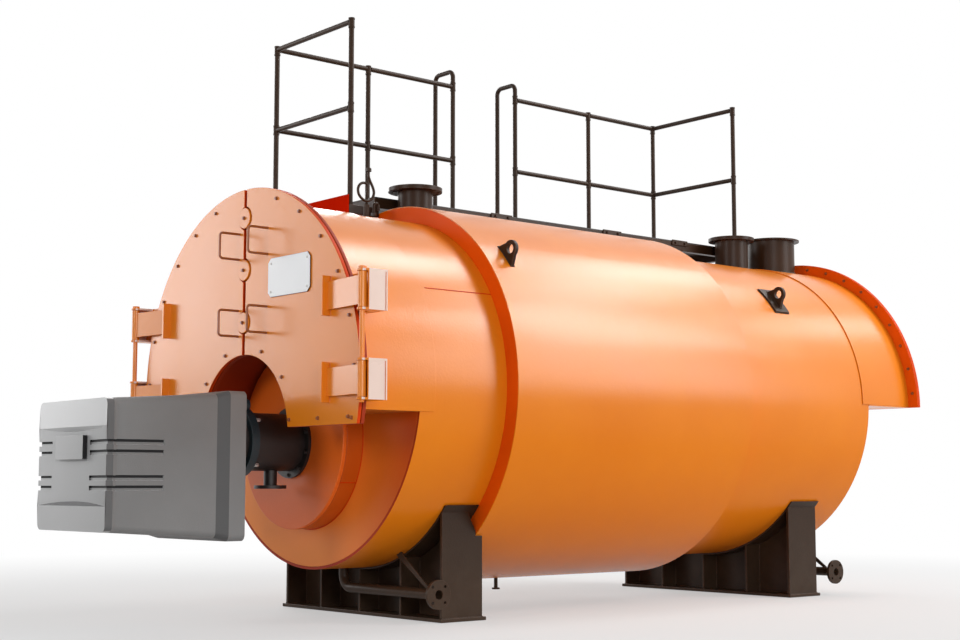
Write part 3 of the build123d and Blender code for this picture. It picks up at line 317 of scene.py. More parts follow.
# painted shade: near black for the upper halves of the burner's grooves and the badge's side
grooveAndSideShade = makePaint("grooveAndSideShade", (0.014, 0.014, 0.015), (0.009, 0.009, 0.010), (0.03, 0.03, 0.03),
                       roughness=0.55, ripple=0.0006, wear=0.2, specular=0.2, peelScale=260.0)
burnerBlack = makePaint("burnerBlack", (0.020, 0.0135, 0.0115), (0.012, 0.0085, 0.0075), (0.06, 0.05, 0.045),
                        roughness=0.42, ripple=0.0010, wear=0.7, dust=0.05, specular=0.4, peelScale=190.0)
castBlue = makePaint("castBlue", (0.011, 0.024, 0.030), (0.007, 0.015, 0.019), (0.045, 0.075, 0.085),
                     roughness=0.40, ripple=0.0011, wear=0.7, dust=0.05, specular=0.45, peelScale=170.0)
boltSteel = makePaint("boltSteel", (0.50, 0.49, 0.47), (0.38, 0.37, 0.36), (0.66, 0.65, 0.63),
                      roughness=0.34, ripple=0.0003, wear=0.6, dust=0.1, peelScale=240.0,
                      metallic=0.7)
plateEnamel = makePaint("plateEnamel", (0.78, 0.79, 0.805), (0.73, 0.74, 0.755), (0.60, 0.58, 0.55),
                        roughness=0.26, ripple=0.0003, wear=0.7)
# painted shade: a dark brown for the side faces of the name plate
plateEdge = makePaint("plateEdge", (0.10, 0.035, 0.012), (0.07, 0.024, 0.009), (0.24, 0.15, 0.10),
                      roughness=0.4, ripple=0.0003, wear=0.7, specular=0.4)
print("materials made:", len(bpy.data.materials))


# a copy of a CAD node with rounded edges; the rounded faces carry the mark that the wear reads
def softenNode(node, name, material, width, segments=2, sharpFrom=35):
    cad = nodes[node]
    work = bmesh.new()
    work.from_mesh(cad.data)
    bmesh.ops.remove_doubles(work, verts=work.verts, dist=1e-5)
    bmesh.ops.dissolve_limit(work, angle_limit=radians(0.4), verts=work.verts, edges=work.edges)
    if node in reshapes:
        reshapes[node](work)
    sharp = [edge for edge in work.edges
             if len(edge.link_faces) == 2 and edge.calc_face_angle(0) > radians(sharpFrom)]
    mark = work.faces.layers.float.new("edgeMark")
    if sharp and width:
        rounded = bmesh.ops.bevel(work, geom=sharp, offset=width, offset_type="OFFSET", segments=segments,
                                  profile=0.5, affect="EDGES", clamp_overlap=True)
        for face in rounded["faces"]:
            face[mark] = 1.0
    extra = touches.get(node, ())
    for face in work.faces:
        face.smooth = True
        for i, (paint, picks) in enumerate(extra):
            if picks(face):
                face.material_index = i + 1
    crease = creases.get(node, creases["usual"])
    for edge in work.edges:
        edge.smooth = len(edge.link_faces) != 2 or edge.calc_face_angle(0) < radians(crease)
    mesh = bpy.data.meshes.new(name)
    work.to_mesh(mesh)
    work.free()
    mesh.materials.append(material)
    for paint, picks in extra:
        mesh.materials.append(paint)
    draft = bpy.data.objects.new(name + "Draft", mesh)
    scene.collection.objects.link(draft)
    weighted = draft.modifiers.new("weighted", "WEIGHTED_NORMAL")
    weighted.weight = 90
    weighted.keep_sharp = True
    piece = keepMesh(draft, name, cad["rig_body"])
    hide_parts(node)
    return piece


# the evaluated mesh of a draft becomes the finished piece, at the origin and with no modifier
def keepMesh(draft, name, body):
    graph = bpy.context.evaluated_depsgraph_get()
    mesh = bpy.data.meshes.new_from_object(draft.evaluated_get(graph))
    bpy.data.objects.remove(draft)
    mesh.name = name
    piece = bpy.data.objects.new(name, mesh)
    scene.collection.objects.link(piece)
    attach(piece, body)
    return piece


# faces that take a second finish, almost all painted light and shade: painted shade on sideways edges, the
# shell's front end and inside, the plate's and badge's sides, and the burner's sides, lower slopes, rear
# slope and grooves; painted highlights on the hinge cheeks and the burner's top band, upper slope and groove
# lips; the burner's lower band keeps its own grey with painted shade along X
coverLow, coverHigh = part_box("burner_cover")
housingLow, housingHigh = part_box("burner_housing")
coverBand = {"height": 0.142, "lower": 0.131, "margin": 0.004, "slope": 0.03}
rearBand = {"start": 0.170, "end": 0.100}
shellEnd = 0.01
# the least part of a face's normal that counts as turned that way
leans = {"front": 0.75, "inward": 0.5, "side": 0.6, "cheek": 0.8, "slope": 0.3, "shade": 0.5, "lip": 0.4}


def turnedSideways(face):
    return abs(face.normal.y) < leans["front"]


def frontEnd(face):
    spot = face.calc_center_median()
    inward = -spot.x * face.normal.x - (spot.z - axisHeight) * face.normal.z
    onEnd = face.normal.y < -leans["front"] and spot.y < shellLow.y + shellEnd
    return onEnd or inward > leans["inward"] * shellRadius


def upperBand(face):
    return face.calc_center_median().z > coverHigh.z - coverBand["height"] + coverBand["margin"]


def lowerBand(face):
    return face.calc_center_median().z < coverLow.z + coverBand["lower"] - coverBand["margin"]


def coverSide(face):
    return abs(face.normal.x) > leans["side"]


def slopeBelow(face):
    rise = face.calc_center_median().z - coverLow.z - coverBand["lower"]
    return face.normal.z > leans["slope"] and 0 < rise < coverBand["slope"]


def slopeAbove(face):
    drop = coverHigh.z - coverBand["height"] - face.calc_center_median().z
    return face.normal.z < -leans["slope"] and 0 < drop < coverBand["slope"]


# the burner's grooves: half of each lies in shade and its lower lip catches the light
grooves = {"heights": (0.747, 0.800, 0.930, 0.983), "half": 0.0135, "near": 0.168, "far": -0.256,
           "run": 0.292}


def grooveAt(face):
    spot = face.calc_center_median()
    onFront = spot.x > grooves["near"] or spot.x < grooves["far"]
    if not onFront or spot.y > coverLow.y + grooves["run"]:
        return None
    for height in grooves["heights"]:
        if abs(spot.z - height) < grooves["half"]:
            return spot.z - height
    return None


def grooveShadow(face):
    lift = grooveAt(face)
    return lift is not None and lift > 0 and face.normal.z < leans["shade"]


def grooveLip(face):
    return grooveAt(face) is not None and face.normal.z > leans["lip"]


def rearSlope(face):
    return rearBand["end"] < housingHigh.y - face.calc_center_median().y < rearBand["start"]


def cheekFace(face):
    return abs(face.normal.x) > leans["cheek"]


def badgeSide(face):
    return face.normal.x > leans["side"]


def cutAcross(work, place, normal):
    bmesh.ops.bisect_plane(work, geom=work.verts[:] + work.edges[:] + work.faces[:], plane_co=place,
                           plane_no=normal)


def splitGrooves(work):
    for height in grooves["heights"]:
        cutAcross(work, (0, 0, height), (0, 0, 1))


# painted shade and painted highlights, face by face
touches = {"right_door": [(edgeShadeRed, turnedSideways)], "left_door": [(edgeShadeRed, turnedSideways)],
           "rear_hood_flange": [(edgeShadeRed, turnedSideways)], "rear_cover": [(edgeShadeRed, turnedSideways)],
           "boiler_shell": [(insideShadePaint, frontEnd)], "name_plate": [(plateEdge, turnedSideways)],
           "burner_cover": [(burnerBright, upperBand), (burnerBand, lowerBand), (burnerSide, coverSide),
                            (burnerShade, slopeBelow), (burnerLip, slopeAbove), (grooveAndSideShade, grooveShadow),
                            (burnerLip, grooveLip)],
           "burner_housing": [(burnerShade, rearSlope), (grooveAndSideShade, grooveShadow), (burnerLip, grooveLip)],
           "burner_badge": [(grooveAndSideShade, badgeSide)], "hinge_brackets": [(cheekHighlightPaint, cheekFace)]}
# the angle in degrees from which an edge stays sharp in the shading
creases = {"usual": 50, "burner_housing": 12, "burner_cover": 20}

# the burner's sides dip in behind the front cover and come out again
sideDip = {"run": 0.11, "depth": 0.009, "from": 0.36, "cuts": (0.004, 0.012, 0.024, 0.040, 0.060, 0.084)}


def dipSides(work):
    splitGrooves(work)
    for cut in sideDip["cuts"]:
        cutAcross(work, (0, housingLow.y + cut, 0), (0, 1, 0))
    for vert in work.verts:
        share = (vert.co.y - housingLow.y) / sideDip["run"]
        if 0 < share < 1 and abs(vert.co.x) > sideDip["from"]:
            dip = sideDip["depth"] * sin(pi * sqrt(share))
            vert.co.x -= dip if vert.co.x > 0 else -dip


reshapes = {"burner_housing": dipSides, "burner_cover": splitGrooves}

# every CAD node with its finish and the rounding of its edges in metres
nodeFinish = {
    "orange_paint": (orangePaint, {
        "boiler_shell": 0.002, "front_tube_plate": 0.002, "rear_tube_plate": 0.002, "furnace_mouth": 0.003,
        "burner_plate": 0.004, "jacket_cladding": 0.003, "jacket_end_rings": 0.002,
        "smokebox_wrapper": 0.002, "smokebox_arch": 0.002, "smokebox_floors": 0.002, "door_frame": 0.003,
        "seam_bosses": 0.003, "hinge_brackets": 0.002, "rear_hood": 0.002, "rear_hood_floor": 0.002,
        "rear_hood_flange": 0.004, "rear_cover": 0.003, "front_toe_board": 0.002, "hinge_pins": 0.002,
        "right_door": 0.003, "left_door": 0.003, "right_hinge_straps": 0.003, "left_hinge_straps": 0.003,
        "right_handles": 0.0, "left_handles": 0.0}),
    "dark_paint": (darkPaint, {
        "front_saddle": 0.003, "rear_saddle": 0.003, "saddle_wear_plates": 0.002, "steam_nozzle": 0.003,
        "safety_nozzle": 0.003, "flue_outlet": 0.002, "siphon": 0.0, "front_lifting_lugs": 0.004,
        "rear_lifting_lugs": 0.004, "front_blowdown": 0.002, "rear_blowdown": 0.002,
        "blowdown_braces": 0.002, "jacket_drain": 0.002, "deck_beams": 0.003, "deck_legs": 0.003,
        "railing_posts": 0.002, "top_rails": 0.0, "mid_rails": 0.0, "ladder_stringers": 0.0,
        "ladder_rungs": 0.0, "ladder_brackets": 0.002, "deck_plate": 0.002}),
    "burner_grey": (burnerGrey, {"burner_housing": 0.004, "burner_cover": 0.004, "burner_badge": 0.003}),
    "burner_black": (burnerBlack, {"blast_tube": 0.003, "burner_flange": 0.005, "gas_inlet": 0.003}),
    "plate_white": (plateEnamel, {"name_plate": 0.002}),
}
pieceOf = {}
for slot, (material, widths) in nodeFinish.items():
    for node, width in widths.items():
        words = node.split("_")
        name = words[0] + "".join(word.capitalize() for word in words[1:])
        pieceOf[node] = softenNode(node, name, material, width)
# second finishes for whole pieces; the rings, hood flange, furnace mouth, burner plate, smokebox floors, toe
# board, handles, arch and frame take painted shade, the tube plate painted light and shade
otherFinish = {"deck_plate": deckPaint, "burner_cover": burnerSilver, "burner_badge": burnerSilver,
               "burner_flange": castBlue, "right_door": doorPaint, "left_door": doorPaint,
               "seam_bosses": doorPaint, "right_hinge_straps": doorPaint, "left_hinge_straps": doorPaint,
               "right_handles": handlePaint, "left_handles": handlePaint, "door_frame": emberShade,
               "smokebox_arch": emberShade, "front_toe_board": toePaint, "jacket_end_rings": ringShadePaint,
               "furnace_mouth": mouthPaint, "burner_plate": burnerPlatePaint, "smokebox_floors": innerShadePaint,
               "front_tube_plate": tubePlateLightAndShade, "rear_hood_flange": ringShadePaint}
for node, material in otherFinish.items():
    pieceOf[node].data.materials[0] = material
print("CAD nodes dressed:", len(pieceOf))


# Geometry Nodes: trees with named inputs, turned into plain meshes
def newTree(name, inputs):
    tree = bpy.data.node_groups.new(name, "GeometryNodeTree")
    kinds = {float: "NodeSocketFloat", int: "NodeSocketInt", str: "NodeSocketMaterial"}
    tree.interface.new_socket("Geometry", in_out="INPUT", socket_type="NodeSocketGeometry")
    for label, value in inputs.items():
        socket = tree.interface.new_socket(label, in_out="INPUT", socket_type=kinds[type(value)])
        if not isinstance(value, str):
            socket.default_value = value
    tree.interface.new_socket("Geometry", in_out="OUTPUT", socket_type="NodeSocketGeometry")
    return tree, addNode(tree, "NodeGroupInput").outputs, addNode(tree, "NodeGroupOutput").inputs


def closeTree(tree, source, sink, geometry):
    realize = addNode(tree, "GeometryNodeRealizeInstances")
    link(tree, geometry, realize.inputs[0])
    finish = setInputs(addNode(tree, "GeometryNodeSetMaterial"), Geometry=realize.outputs[0],
                       Material=source["Material"])
    link(tree, finish.outputs[0], sink[0])


# an instance at each point, with one of its axes along the point's own direction
def spreadOnPoints(tree, source, instance, axis="Z", **size):
    aim = setInputs(addNode(tree, "GeometryNodeInputNamedAttribute", data_type="FLOAT_VECTOR"), Name="aim")
    turn = setInputs(addNode(tree, "FunctionNodeAlignRotationToVector", axis=axis),
                     Vector=aim.outputs["Attribute"])
    spread = setInputs(addNode(tree, "GeometryNodeInstanceOnPoints"), Points=source["Geometry"],
                       Instance=instance, Rotation=turn.outputs[0], **size)
    return spread.outputs[0]


# a round section swept along a curve and shaded smooth
def sweepRound(tree, curve, sides, size, caps=True):
    section = setInputs(addNode(tree, "GeometryNodeCurvePrimitiveCircle"), Resolution=sides, Radius=1.0)
    sweep = setInputs(addNode(tree, "GeometryNodeCurveToMesh"), Curve=curve, Profile_Curve=section.outputs[0],
                      Scale=size, Fill_Caps=caps)
    smooth = addNode(tree, "GeometryNodeSetShadeSmooth")
    link(tree, sweep.outputs[0], smooth.inputs[0])
    return smooth.outputs[0]


def curveOf(tree, source):
    line = addNode(tree, "GeometryNodeMeshToCurve")
    link(tree, source["Geometry"], line.inputs[0])
    return line.outputs[0]


def liftBy(tree, geometry, rise):
    place = setInputs(addNode(tree, "ShaderNodeCombineXYZ"), Z=rise)
    move = setInputs(addNode(tree, "GeometryNodeTransform"), Geometry=geometry, Translation=place.outputs[0])
    return move.outputs[0]


def joinParts(tree, parts):
    together = addNode(tree, "GeometryNodeJoinGeometry")
    for part in parts:
        link(tree, part, together.inputs[0])
    return together.outputs[0]


# a bolt at each point: washer, hexagon and chamfered crown
boltTree, boltIn, boltOut = newTree(
    "boltRows", {"Washer": 0.016, "Head": 0.012, "Height": 0.008, "Sides": 6, "Material": ""})
boltShare = {"washerSides": 20, "third": 0.3, "chamfer": 0.8, "washerRim": 0.93}
thirdHeight = mathNode(boltTree, "MULTIPLY", boltIn["Height"], boltShare["third"])
chamfer = mathNode(boltTree, "MULTIPLY", boltIn["Head"], boltShare["chamfer"])
washerRim = mathNode(boltTree, "MULTIPLY", boltIn["Washer"], boltShare["washerRim"])
boltParts = []
for sides, low, high, depth in ((boltShare["washerSides"], boltIn["Washer"], washerRim, thirdHeight),
                                (boltIn["Sides"], boltIn["Head"], boltIn["Head"], boltIn["Height"]),
                                (boltIn["Sides"], boltIn["Head"], chamfer, thirdHeight)):
    boltParts.append(setInputs(addNode(boltTree, "GeometryNodeMeshCone"), Vertices=sides, Radius_Bottom=low,
                               Radius_Top=high, Depth=depth).outputs["Mesh"])
boltParts[2] = liftBy(boltTree, boltParts[2], boltIn["Height"])
closeTree(boltTree, boltIn, boltOut, spreadOnPoints(boltTree, boltIn, joinParts(boltTree, boltParts)))

# a weld bead along each line: a round section whose radius ripples
beadTree, beadIn, beadOut = newTree(
    "weldBeads", {"Radius": 0.006, "Step": 0.006, "Ripple": 0.3, "Material": ""})
beadShape = {"pace": 2.1, "waveShare": 0.5, "noiseScale": 40.0, "least": 0.85, "sides": 6}
beadSteps = setInputs(addNode(beadTree, "GeometryNodeResampleCurve", mode="LENGTH"),
                      Curve=curveOf(beadTree, beadIn), Length=beadIn["Step"])
beadCount = addNode(beadTree, "GeometryNodeInputIndex").outputs[0]
beadWave = mathNode(beadTree, "SINE", mathNode(beadTree, "MULTIPLY", beadCount, beadShape["pace"]))
beadNoise = setInputs(addNode(beadTree, "ShaderNodeTexNoise"), Scale=beadShape["noiseScale"])
beadRise = mathNode(beadTree, "MULTIPLY", beadWave, beadShape["waveShare"])
beadSwell = mathNode(beadTree, "ADD", beadRise, beadNoise.outputs[0])
beadRipple = mathNode(beadTree, "MULTIPLY", beadSwell, beadIn["Ripple"])
beadSize = mathNode(beadTree, "ADD", beadRipple, beadShape["least"])
beadRadius = mathNode(beadTree, "MULTIPLY", beadSize, beadIn["Radius"])
closeTree(beadTree, beadIn, beadOut,
          sweepRound(beadTree, beadSteps.outputs[0], beadShape["sides"], beadRadius))

# a socket fitting at each rail joint: a sleeve with a collar at both ends
sleeveTree, sleeveIn, sleeveOut = newTree(
    "railSleeves", {"Bore": 0.0205, "Length": 0.08, "Collar": 0.0235, "Material": ""})
sleeveShare = {"sides": 20, "collar": 0.16, "ends": (-0.42, 0.42)}


def sleeveRound(radius, depth):
    return setInputs(addNode(sleeveTree, "GeometryNodeMeshCylinder"), Vertices=sleeveShare["sides"],
                     Radius=radius, Depth=depth).outputs["Mesh"]


sleeveParts = [sleeveRound(sleeveIn["Bore"], sleeveIn["Length"])]
collarLength = mathNode(sleeveTree, "MULTIPLY", sleeveIn["Length"], sleeveShare["collar"])
for end in sleeveShare["ends"]:
    sleeveParts.append(liftBy(sleeveTree, sleeveRound(sleeveIn["Collar"], collarLength),
                              mathNode(sleeveTree, "MULTIPLY", sleeveIn["Length"], end)))
closeTree(sleeveTree, sleeveIn, sleeveOut,
          spreadOnPoints(sleeveTree, sleeveIn, joinParts(sleeveTree, sleeveParts)))

# a round tube along each line
tubeTree, tubeIn, tubeOut = newTree("tubeRuns", {"Radius": 0.009, "Sides": 16, "Material": ""})
closeTree(tubeTree, tubeIn, tubeOut,
          sweepRound(tubeTree, curveOf(tubeTree, tubeIn), tubeIn["Sides"], tubeIn["Radius"]))

# a low lens-shaped tread bar at each point, lying along the point's own direction
treadTree, treadIn, treadOut = newTree(
    "treadBars", {"Length": 0.026, "Width": 0.008, "Height": 0.003, "Material": ""})
treadBar = setInputs(addNode(treadTree, "GeometryNodeMeshCone"), Vertices=10, Radius_Top=0.55,
                     Radius_Bottom=1.0, Depth=1.0)
treadSize = setInputs(addNode(treadTree, "ShaderNodeCombineXYZ"), X=treadIn["Length"], Y=treadIn["Width"],
                      Z=treadIn["Height"])
closeTree(treadTree, treadIn, treadOut, spreadOnPoints(treadTree, treadIn, treadBar.outputs["Mesh"], "X",
                                                       Scale=treadSize.outputs[0]))

# a rolled rim at each point, round the point's own direction
rimTree, rimIn, rimOut = newTree("tubeRims", {"Radius": 0.031, "Rim": 0.004, "Material": ""})
rimCircle = setInputs(addNode(rimTree, "GeometryNodeCurvePrimitiveCircle"), Resolution=20,
                      Radius=rimIn["Radius"])
rimRing = sweepRound(rimTree, rimCircle.outputs[0], sides=6, size=rimIn["Rim"], caps=False)
closeTree(rimTree, rimIn, rimOut, spreadOnPoints(rimTree, rimIn, rimRing))


# a tree grows on points with a direction each, or along open lines
def growAt(name, points, tree, values, body):
    mesh = bpy.data.meshes.new(name)
    mesh.from_pydata([place for place, aim in points], [], [])
    aims = mesh.attributes.new("aim", "FLOAT_VECTOR", "POINT")
    for item, (place, aim) in zip(aims.data, points):
        item.vector = aim
    return grow(name, mesh, tree, values, body)


def growAlong(name, lines, tree, values, body):
    mesh = bpy.data.meshes.new(name)
    places = []
    edges = []
    for line in lines:
        first = len(places)
        places.extend(line)
        edges.extend((first + i, first + i + 1) for i in range(len(line) - 1))
    mesh.from_pydata(places, edges, [])
    return grow(name, mesh, tree, values, body)


def grow(name, mesh, tree, values, body):
    draft = bpy.data.objects.new(name + "Draft", mesh)
    modifier = draft.modifiers.new("grow", "NODES")
    modifier.node_group = tree
    for label, value in values.items():
        modifier[tree.interface.items_tree[label].identifier] = value
    scene.collection.objects.link(draft)
    return keepMesh(draft, name, body)


# point on a round body, at an angle from the top towards the near side
def onRound(radius, angle, y, height=axisHeight):
    turn = radians(angle)
    return Vector((radius * sin(turn), y, height + radius * cos(turn)))


def ringLine(radius, y, height, start=0, end=360, steps=96):
    return [onRound(radius, start + (end - start) * i / steps, y, height) for i in range(steps + 1)]


# bolts round the doors, on the seam bosses and round the rear flange
doorBolts = {"circle": 1.087, "angles": (17.5, 30.9, 44.9, 58.8, 72.8, 87.0, 101.4), "rowLift": 0.039,
             "rowX": (0.483, 0.759, 1.035), "arch": ((0.193, 1.508), (0.403, 1.355))}
# the orange bolts take the darker orange of painted shade
boltSize = {"Washer": 0.0115, "Head": 0.0095, "Height": 0.009, "Sides": 6, "Material": boltShadePaint}
toFront = Vector((0, -1, 0))
upwards = Vector((0, 0, 1))
doors = {"right": (1, "right_door_leaf"), "left": (-1, "left_door_leaf")}
for door, (side, body) in doors.items():
    spots = [onRound(doorBolts["circle"], side * angle, doorFace) for angle in doorBolts["angles"]]
    spots += [Vector((side * x, doorFace, doorLow.z + doorBolts["rowLift"])) for x in doorBolts["rowX"]]
    spots += [Vector((side * x, doorFace, z)) for x, z in doorBolts["arch"]]
    growAt(door + "DoorBolts", [(spot, toFront) for spot in spots], boltTree, boltSize, body)

bossLow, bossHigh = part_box("seam_bosses")
bossCount = 3
bossRadius = bossHigh.x
bossGap = (bossHigh.z - bossLow.z - 2 * bossRadius) / (bossCount - 1)
bossBolts = [(Vector((0, bossLow.y, bossLow.z + bossRadius + i * bossGap)), toFront)
             for i in range(bossCount)]
growAt("seamBolts", bossBolts, boltTree, boltSize, "boiler")

rearBolts = {"circle": 1.098, "first": -85.0, "pitch": 9.45, "count": 19}
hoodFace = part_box("rear_hood_flange")[0].y
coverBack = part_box("rear_cover")[1].y
spots = []
for i in range(rearBolts["count"]):
    angle = rearBolts["first"] + i * rearBolts["pitch"]
    spots.append((onRound(rearBolts["circle"], angle, hoodFace), toFront))
    spots.append((onRound(rearBolts["circle"], angle, coverBack), -toFront))
growAt("rearFlangeBolts", spots, boltTree, boltSize, "boiler")

# studs behind the burner's flange, nuts on its ears and bolts round the ring at the boiler
castLow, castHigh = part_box("burner_flange")
blastHeight = middle("blast_tube").z
flangeStuds = {"circle": 0.178, "count": 4, "first": 48.0, "ear": (0.101, 1.210), "ring": 0.187,
               "ringCount": 10}
studSize = {"Washer": 0.015, "Head": 0.012, "Height": 0.030, "Sides": 6, "Material": boltSteel}
studs = []
for i in range(flangeStuds["count"]):
    angle = flangeStuds["first"] + 360 * i / flangeStuds["count"]
    studs.append((onRound(flangeStuds["circle"], angle, castHigh.y, blastHeight), -toFront))
growAt("flangeStuds", studs, boltTree, studSize, "boiler")
earX, earZ = flangeStuds["ear"]
darkBolts = [(Vector((side * earX, castLow.y, earZ)), toFront) for side in (-1, 1)]
ringFace = min(vert.co.y for vert in nodes["blast_tube"].data.vertices
               if hypot(vert.co.x, vert.co.z - blastHeight) > flangeStuds["ring"])
for i in range(flangeStuds["ringCount"]):
    angle = 360 * i / flangeStuds["ringCount"]
    darkBolts.append((onRound(flangeStuds["ring"], angle, ringFace, blastHeight), toFront))
darkBoltSize = {"Washer": 0.013, "Head": 0.010, "Height": 0.010, "Sides": 6, "Material": burnerBlack}
growAt("blastBolts", darkBolts, boltTree, darkBoltSize, "boiler")

# screws in the corners of the name plate
signLow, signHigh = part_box("name_plate")
screwInset = 0.030
screwSize = {"Washer": 0.0075, "Head": 0.0055, "Height": 0.003, "Sides": 12, "Material": boltSteel}
screws = [(Vector((x, signLow.y, z)), toFront)
          for x in (signLow.x + screwInset, signHigh.x - screwInset)
          for z in (signLow.z + screwInset, signHigh.z - screwInset)]
growAt("plateScrews", screws, boltTree, screwSize, "right_door_leaf")
print("bolts made")

# weld beads where plates, necks and lugs meet
# the fine beads take the deep red of the painted edge shade
fineBead = {"Radius": 0.0032, "Step": 0.006, "Ripple": 0.35, "Material": edgeShadeRed}
shellSeams = {"clear": 0.002, "plateClear": 0.001, "plateArc": (75, 285), "shellAngle": 60,
              "shellStart": -0.378, "mouthAngle": 119}
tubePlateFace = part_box("front_tube_plate")[0].y
orangeLines = [
    ringLine(furnaceRadius + shellSeams["clear"], tubePlateFace - shellSeams["plateClear"], furnaceHeight,
             *shellSeams["plateArc"]),
    [onRound(shellRadius, shellSeams["shellAngle"], y) for y in (shellSeams["shellStart"], jacketLow.y)],
    [onRound(furnaceRadius, shellSeams["mouthAngle"], y, furnaceHeight)
     for y in (plateHigh.y, tubePlateFace)],
]
growAlong("shellWelds", orangeLines, beadTree, fineBead, "boiler")


# where an upright neck meets a round body
def neckLine(radius, y, bodyRadius, steps=72):
    line = []
    for i in range(steps + 1):
        turn = 2 * pi * i / steps
        x = radius * cos(turn)
        line.append(Vector((x, y + radius * sin(turn), axisHeight + sqrt(bodyRadius**2 - x**2))))
    return line


neckWelds = {"steam_nozzle": (0.1165, jacketRadius), "safety_nozzle": (0.1235, shellRadius),
             "flue_outlet": (0.1790, hoodRadius)}
darkLines = [neckLine(radius, middle(node).y, body) for node, (radius, body) in neckWelds.items()]
heavyBead = {**fineBead, "Radius": 0.007, "Material": darkPaint}
growAlong("neckWelds", darkLines, beadTree, heavyBead, "boiler")


# a closed line round a foot that stands on a round body
def footLine(angle, y, halfWide, halfLong, radius, steps=12):
    reach = halfWide / radius * 180 / pi
    front = [onRound(radius, angle + reach * (2 * i / steps - 1), y - halfLong) for i in range(steps + 1)]
    back = [onRound(radius, angle - reach * (2 * i / steps - 1), y + halfLong) for i in range(steps + 1)]
    return front + back + front[:1]


lugFeet = {"angle": 48.0, "half": 0.085, "wall": 0.0125, "padHalf": 0.115, "padLong": 0.0725,
           "padWall": 0.012, "bead": 0.0045}
frontLugY = middle("front_lifting_lugs").y
rearLugY = middle("rear_lifting_lugs").y
padRadius = shellRadius + lugFeet["padWall"]
lugLines = []
for side in (1, -1):
    turn = side * lugFeet["angle"]
    lugLines.append(footLine(turn, frontLugY, lugFeet["half"], lugFeet["wall"], jacketRadius))
    lugLines.append(footLine(turn, rearLugY, lugFeet["padHalf"], lugFeet["padLong"], shellRadius))
    lugLines.append(footLine(turn, rearLugY, lugFeet["half"], lugFeet["wall"], padRadius))
saddleFeet = {"end": 0.785, "half": 0.148, "base": 0.020, "ribs": (-0.4, 0.0, 0.4), "rib": 0.008, "gap": 0.08}


def saddleLine(x, y, shares):
    return [Vector((x, y + share * saddleFeet["half"], saddleFeet["base"])) for share in shares]


for node in ("front_saddle", "rear_saddle"):
    y = middle(node).y
    for side in (-1, 1):
        lugLines.append(saddleLine(side * saddleFeet["end"], y, (-1, 1)))
    for rib in saddleFeet["ribs"]:
        for side in (-1, 1):
            for run in ((-1, -saddleFeet["gap"]), (saddleFeet["gap"], 1)):
                lugLines.append(saddleLine(rib + side * saddleFeet["rib"], y, run))
lugBead = {**fineBead, "Radius": lugFeet["bead"], "Material": darkPaint}
growAlong("lugWelds", lugLines, beadTree, lugBead, "boiler")

ribWelds = {"x": 0.860, "half": 0.008, "reach": 0.105, "rises": (-0.023, 0.437), "bead": 0.0035}
ribBead = {**fineBead, "Radius": ribWelds["bead"], "Material": weldPaint}
for door, (side, body) in doors.items():
    lines = []
    for rise in ribWelds["rises"]:
        for edge in (-1, 1):
            x = side * ribWelds["x"] + edge * ribWelds["half"]
            lines.append([Vector((x, doorFace, axisHeight + rise + share * ribWelds["reach"]))
                          for share in (-1, 1)])
    growAlong(door + "RibWelds", lines, beadTree, ribBead, body)

# rolled rims of the fire tubes, on the tube plate's own layout
tubeField = {"pitch": 0.122, "edge": 0.055, "wall": 0.016, "drop": 0.160}
# the rims take the darker orange of painted shade
rimSize = {"Radius": 0.033, "Rim": 0.0045, "Material": innerShadePaint}
fieldRadius = shellRadius - tubeField["wall"] - tubeField["edge"]
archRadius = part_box("smokebox_arch")[1].x
rowRise = tubeField["pitch"] * sin(radians(60))
firstRow = axisHeight - tubeField["drop"] + tubeField["edge"]
rimSpots = []
for row in range(int((axisHeight + fieldRadius - firstRow) / rowRise) + 1):
    z = firstRow + row * rowRise
    columns = int(fieldRadius / tubeField["pitch"])
    for column in range(-columns, columns + 1):
        x = (column + row % 2 / 2) * tubeField["pitch"]
        if (hypot(x, z - axisHeight) < fieldRadius
                and hypot(x, z - furnaceHeight) > archRadius + tubeField["edge"]):
            rimSpots.append((Vector((x, tubePlateFace, z)), toFront))
growAt("tubeRims", rimSpots, rimTree, rimSize, "boiler")
print("welds made")

# pressure pipe on the front crown: a stub, up through one full loop, then straight up to the gauge end
coil = {"y": -0.132, "z": 2.548, "radius": 0.057, "sweep": 290.0, "front": 0.020, "pipeY": -0.117,
        "stubTop": 2.476, "stubGap": 0.004, "top": 2.700, "steps": 44}
coilIn = ((0.019, 0.010), (0.032, coil["radius"]), (0.0, coil["radius"]))
coilOut = ((0.042, 0.053), (0.015, 0.075), (0.015, 0.112))
hookPipe = {"y": -0.060, "rise": 0.095, "bend": 0.018, "end": 0.070}
nutDrop = {"stub": 0.022, "top": 0.026, "hook": 0.030}
pipeSize = {"Radius": 0.0085, "Sides": 14, "Material": darkPaint}
stubSize = {"Radius": 0.017, "Sides": 20, "Material": darkPaint}
nutSize = {"Washer": 0.017, "Head": 0.0185, "Height": 0.018, "Sides": 6, "Material": darkPaint}
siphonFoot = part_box("siphon")[0].z


def easeCurve(corners, steps=14):
    curve = []
    for i in range(1, steps + 1):
        share = i / steps
        weights = ((1 - share)**3, 3 * (1 - share)**2 * share, 3 * (1 - share) * share**2, share**3)
        curve.append(sum((weight * corner for weight, corner in zip(weights, corners)), Vector()))
    return curve


def coilPoint(x, along, up):
    return Vector((x, coil["y"] + along, coil["z"] + up))


